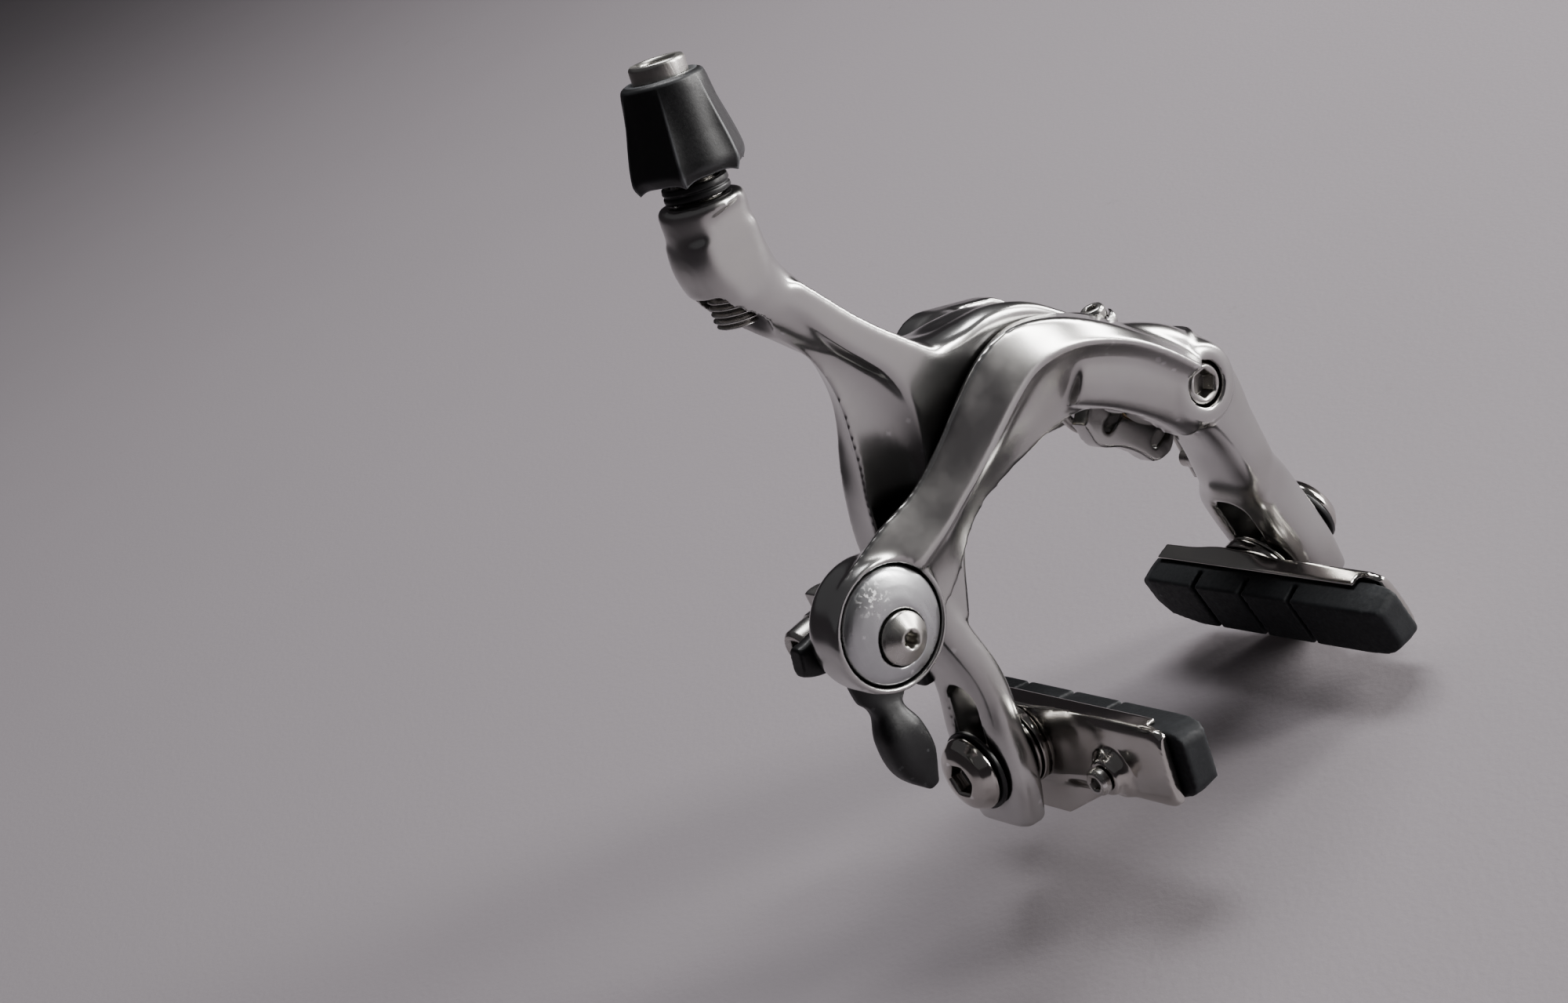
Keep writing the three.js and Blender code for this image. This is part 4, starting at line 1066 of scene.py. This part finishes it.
# the pad is a block whose section narrows towards the rim face and towards its two ends, with square
# grooves cut across the rim face
def makePad(key, shoe):
    s = padShape
    rings = [[[s["inner"], y, a], [2.4, y, a], [d, y, a + 0.6], [d, y, b - 0.4], [2.6, y, b],
              [s["inner"], y, b]]
             for y, a, b, d in zip(s["along"], s["low"], s["high"], s["deep"])]
    block = shoeBody("block", shoe, rings)
    half = s["grooveHalf"]
    cutters = [shoeBlock("groove", shoe, [s["grooveFrom"], g - half, -8],
                         [9, g + half, 8]) for g in s["grooves"]]
    pad = forged(key + "PadRubber", [block], cutters, 0.3, 3)
    dress(pad, key + "_brake_pad", key + "_shoe", rubber)


# one shoe: bolt, head washer, convex and concave washer, holder, pad and pad screw
def makeShoe(key, shoe):
    toRim = shoeAxes(shoe)[0]
    outer = -shoe["legOut"]
    at = shoe["at"]
    bolt = turned(key + "BoltBody", [
        [0, outer - 2.0], [2.4, outer - 2.0, 1], [2.6, outer - 4.0, 1], [3.0, outer - 4.35, 0.3],
        [3.7, outer - 4.2], [5.2, outer - 3.5], [6.1, outer - 2.2], [6.1, outer - 1.4], [2.9, outer - 1.4],
        [2.9, -1.4], [0, -1.4]],
        at, toRim, segments=96, soft=0.3)
    dress(bolt, key + "_shoe_bolt", key + "_clamp", chrome)
    dress(turned(key + "HeadRing", ringProfile(3.2, 6.6, outer - 1.1, outer - 0.3), at, toRim, segments=96,
                 soft=0.2),
          key + "_head_washer", key + "_clamp", black)
    convex = turned(key + "Convex", [[3.2, -4.9], [6.3, -4.9], [6.6, -4.6], [6.5, -4.25], [5.0, -3.9],
                                     [3.2, -3.6], [3.2, -4.9]], at, toRim, segments=96, soft=0.12)
    dress(convex, key + "_convex_washer", key + "_clamp", chrome)
    concave = turned(key + "Concave", [[3.2, -3.2], [5.0, -3.5], [6.7, -3.92], [6.8, -3.6], [6.8, -2.6],
                                       [6.6, -2.4], [3.2, -2.4], [3.2, -3.2]], at, toRim, segments=96,
                     soft=0.12)
    dress(concave, key + "_concave_washer", key + "_shoe", chrome)
    makeHolder(key, shoe)
    makePad(key, shoe)
    screw = turned(key + "PadScrewBody", [[0, -5.2], [1.0, -5.2, 1], [1.1, -5.9, 1], [1.4, -6.1],
                                          [1.8, -6.0], [2.2, -5.5], [2.2, -4.5], [1.2, -4.5], [1.2, 0],
                                          [0, 0]],
                   fromShoe(shoe, [0, holderShape["screw"], padScrewHeight]), toRim, segments=72, soft=0.15)
    dress(screw, key + "_pad_screw", key + "_shoe", steel)


for key, shoe in shoes.items():
    makeShoe(key, shoe)
    print(key + " shoe made")


# Bridge, in mm: its link's discs [x, z, r], its post's profile, its plate's outline [x, z] and two slots
bridgeShape = {
    "link": ([0, 0, 7.8], [28.1, -7.7, 7.4]),
    "post": [[0, -21.5], [6.5, -21.5], [7, -21], [7, -3], [0, -3]],
    "plate": [[14.9, -7.5], [15.8, -12.2], [19.6, -15.2], [22.2, -18.2], [24.2, -21.2], [28, -21.6],
              [31.2, -18], [34.4, -10.6], [33, -2.4], [27, 0], [20, -3.4]],
    "slots": [(20.2, -10.6), (27.2, -18.4)],
}


def makeBridge():
    s = bridgeShape
    link = capsuleBlock("link", *s["link"], -5.5, -1.8)
    post = turned("post", s["post"], sidePivot)
    plate = slab("plate", s["plate"], -21.5, -18)
    cutters = [rodPiece("boltBore", 3.3, -30, 10, [0, 0, 0]), rodPiece("sideBore", 2.9, -30, 10, sidePivot)]
    for x, z in s["slots"]:
        cutters.append(capsuleBlock("lobeSlot", [x - 1.2, z, 1.0], [x + 1.2, z + 0.7, 0.99], -30, -10))
    dress(forged("bridgeSkin", [link, post, plate], cutters, 0.3, 5), "arm_bridge", "bracket", satin)


# Spring, in mm: its wire's radius, the coil's radius, turns, pitch and first y, the two tails' paths, and
# the blocks that they press on
springShape = {
    "wire": 0.9, "coil": 8.9, "turns": 1.3, "pitch": 3.1, "coilFrom": -12.4,
    "cTail": [(37.4, -12.3, -34), (36.6, -12.6, -24)],
    "yTail": [(10, -5.2, 9.2), (0, -4.6, 11), (-12, -6.5, 8), (-21, -11.5, -2), (-24.6, -13.2, -12),
              (-26.4, -13.4, -22)],
    "yBlock": [[-27.6, -17.2, -16, 2.4, 1.6], [-28.3, -17.2, -20.5, 2.2, 1.6], [-29, -17.2, -25, 2.4, 1.6]],
    "cBlock": [[39.7, -12.2, -29, 1.1, 1.8], [40.3, -12.2, -32.5, 1.1, 1.8], [41, -12.2, -36, 1.1, 1.8]],
}


# the spring's wire: a tail to one block, a coil and a third round the side pivot, and a tail to the other
def makeSpring():
    s = springShape
    turn = np.linspace(0, s["turns"], 24)
    angle = math.radians(-8) + 2 * np.pi * turn
    coil = np.stack([sidePivot[0] + s["coil"] * np.cos(angle), s["coilFrom"] + s["pitch"] * turn,
                     sidePivot[2] + s["coil"] * np.sin(angle)], -1)
    spring = wire("springWire", [*s["cTail"], *coil, *s["yTail"]], s["wire"], 420)
    dress(spring, "return_spring", "bracket", steel)
    yBlock = loft("yBlockBody", s["yBlock"], 30, 32, 5)
    dress(yBlock, "y_spring_block", "y_arm_group", black)
    cBlock = loft("cBlockBody", s["cBlock"], 30, 32, 5)
    dress(cBlock, "c_spring_block", "c_arm_group", black)


makeBridge()
makeSpring()
print("bridge and spring made")


# Stage: colours are linear, the radius is in metres
stageLook = {
    "floor": (0.37, 0.335, 0.358), "speck": (0.16, 0.14, 0.12), "radius": 9.0, "flatTo": 5.0,
    "sky": (0.62, 0.61, 0.64), "skyStrength": 0.11,
}


# the floor is a disc at the object's lowest point, made of rings that rise with the square of the
# distance past its flat part; its material is cloudy, with a few dark specks
def makeFloor():
    rings, sides = 60, 96
    low = cadBounds[0][2]
    radius = np.linspace(0, 1, rings) ** 2 * stageLook["radius"] + 0.001
    angle = np.linspace(0, 2 * np.pi, sides, endpoint=False)
    lift = np.clip(radius - stageLook["flatTo"], 0, None) ** 2 * 0.25
    points = np.stack([radius[:, None] * np.cos(angle), radius[:, None] * np.sin(angle),
                       np.broadcast_to((low + lift)[:, None], (rings, sides))], -1)
    faces = gridFaces(rings, sides, "open") + [list(range(sides))[::-1]]
    floor = meshPiece("floor", points.reshape(-1, 3) / mm, faces)
    if floor.data.polygons[-1].normal.z < 0:
        floor.data.flip_normals()
    material, tree, shader = newMaterial("paper")
    cloud = noiseNode(tree, 9.0, detail=5)
    tree.links.new(mixColour(tree, cloud, stageLook["floor"], tuple(0.94 * c for c in stageLook["floor"])),
                   shader.inputs["Base Color"])
    speck = spanNode(tree, noiseNode(tree, 34.0, detail=6, rough=0.75), 0.66, 0.74)
    plain = shader.inputs["Base Color"].links[0].from_socket
    tree.links.new(mixColour(tree, mathNode(tree, "MULTIPLY", speck, 0.22), plain, stageLook["speck"]),
                   shader.inputs["Base Color"])
    fleck = addNode(tree, "ShaderNodeBump")
    fleck.inputs["Strength"].default_value = 0.15
    fleck.inputs["Distance"].default_value = 0.0003
    tree.links.new(noiseNode(tree, 900.0, detail=3), fleck.inputs["Height"])
    tree.links.new(fleck.outputs["Normal"], shader.inputs["Normal"])
    shader.inputs["Roughness"].default_value = 0.85
    floor.data.materials.append(material)


# soft boxes: place in metres, size, strength in watts and colour; each looks at the caliper
lamps = {
    "window": {"place": (0.95, -0.95, 0.32), "size": (0.26, 0.85), "power": 19, "colour": (1, 0.985, 0.965)},
    "above": {"place": (0.5, 0.2, 1.05), "size": (0.8, 0.32), "power": 10, "colour": (0.985, 0.985, 1)},
    "right": {"place": (1.2, -0.3, 0.2), "size": (0.3, 0.8), "power": 18, "colour": (1.0, 0.985, 0.97)},
}


def makeLights():
    aim = Vector((0, -0.02, 0))
    for name, s in lamps.items():
        data = bpy.data.lights.new(name, "AREA")
        data.shape = "RECTANGLE"
        data.size, data.size_y = s["size"]
        data.energy = s["power"]
        data.color = s["colour"]
        lamp = bpy.data.objects.new(name, data)
        lamp.location = s["place"]
        lamp.rotation_euler = (aim - Vector(s["place"])).to_track_quat("-Z", "Y").to_euler()
        bpy.context.scene.collection.objects.link(lamp)
    world = bpy.data.worlds.new("sky")
    bpy.context.scene.world = world
    world.use_nodes = True
    world.node_tree.nodes["Background"].inputs["Color"].default_value = (*stageLook["sky"], 1)
    world.node_tree.nodes["Background"].inputs["Strength"].default_value = stageLook["skyStrength"]


makeFloor()
makeLights()
print("stage made")
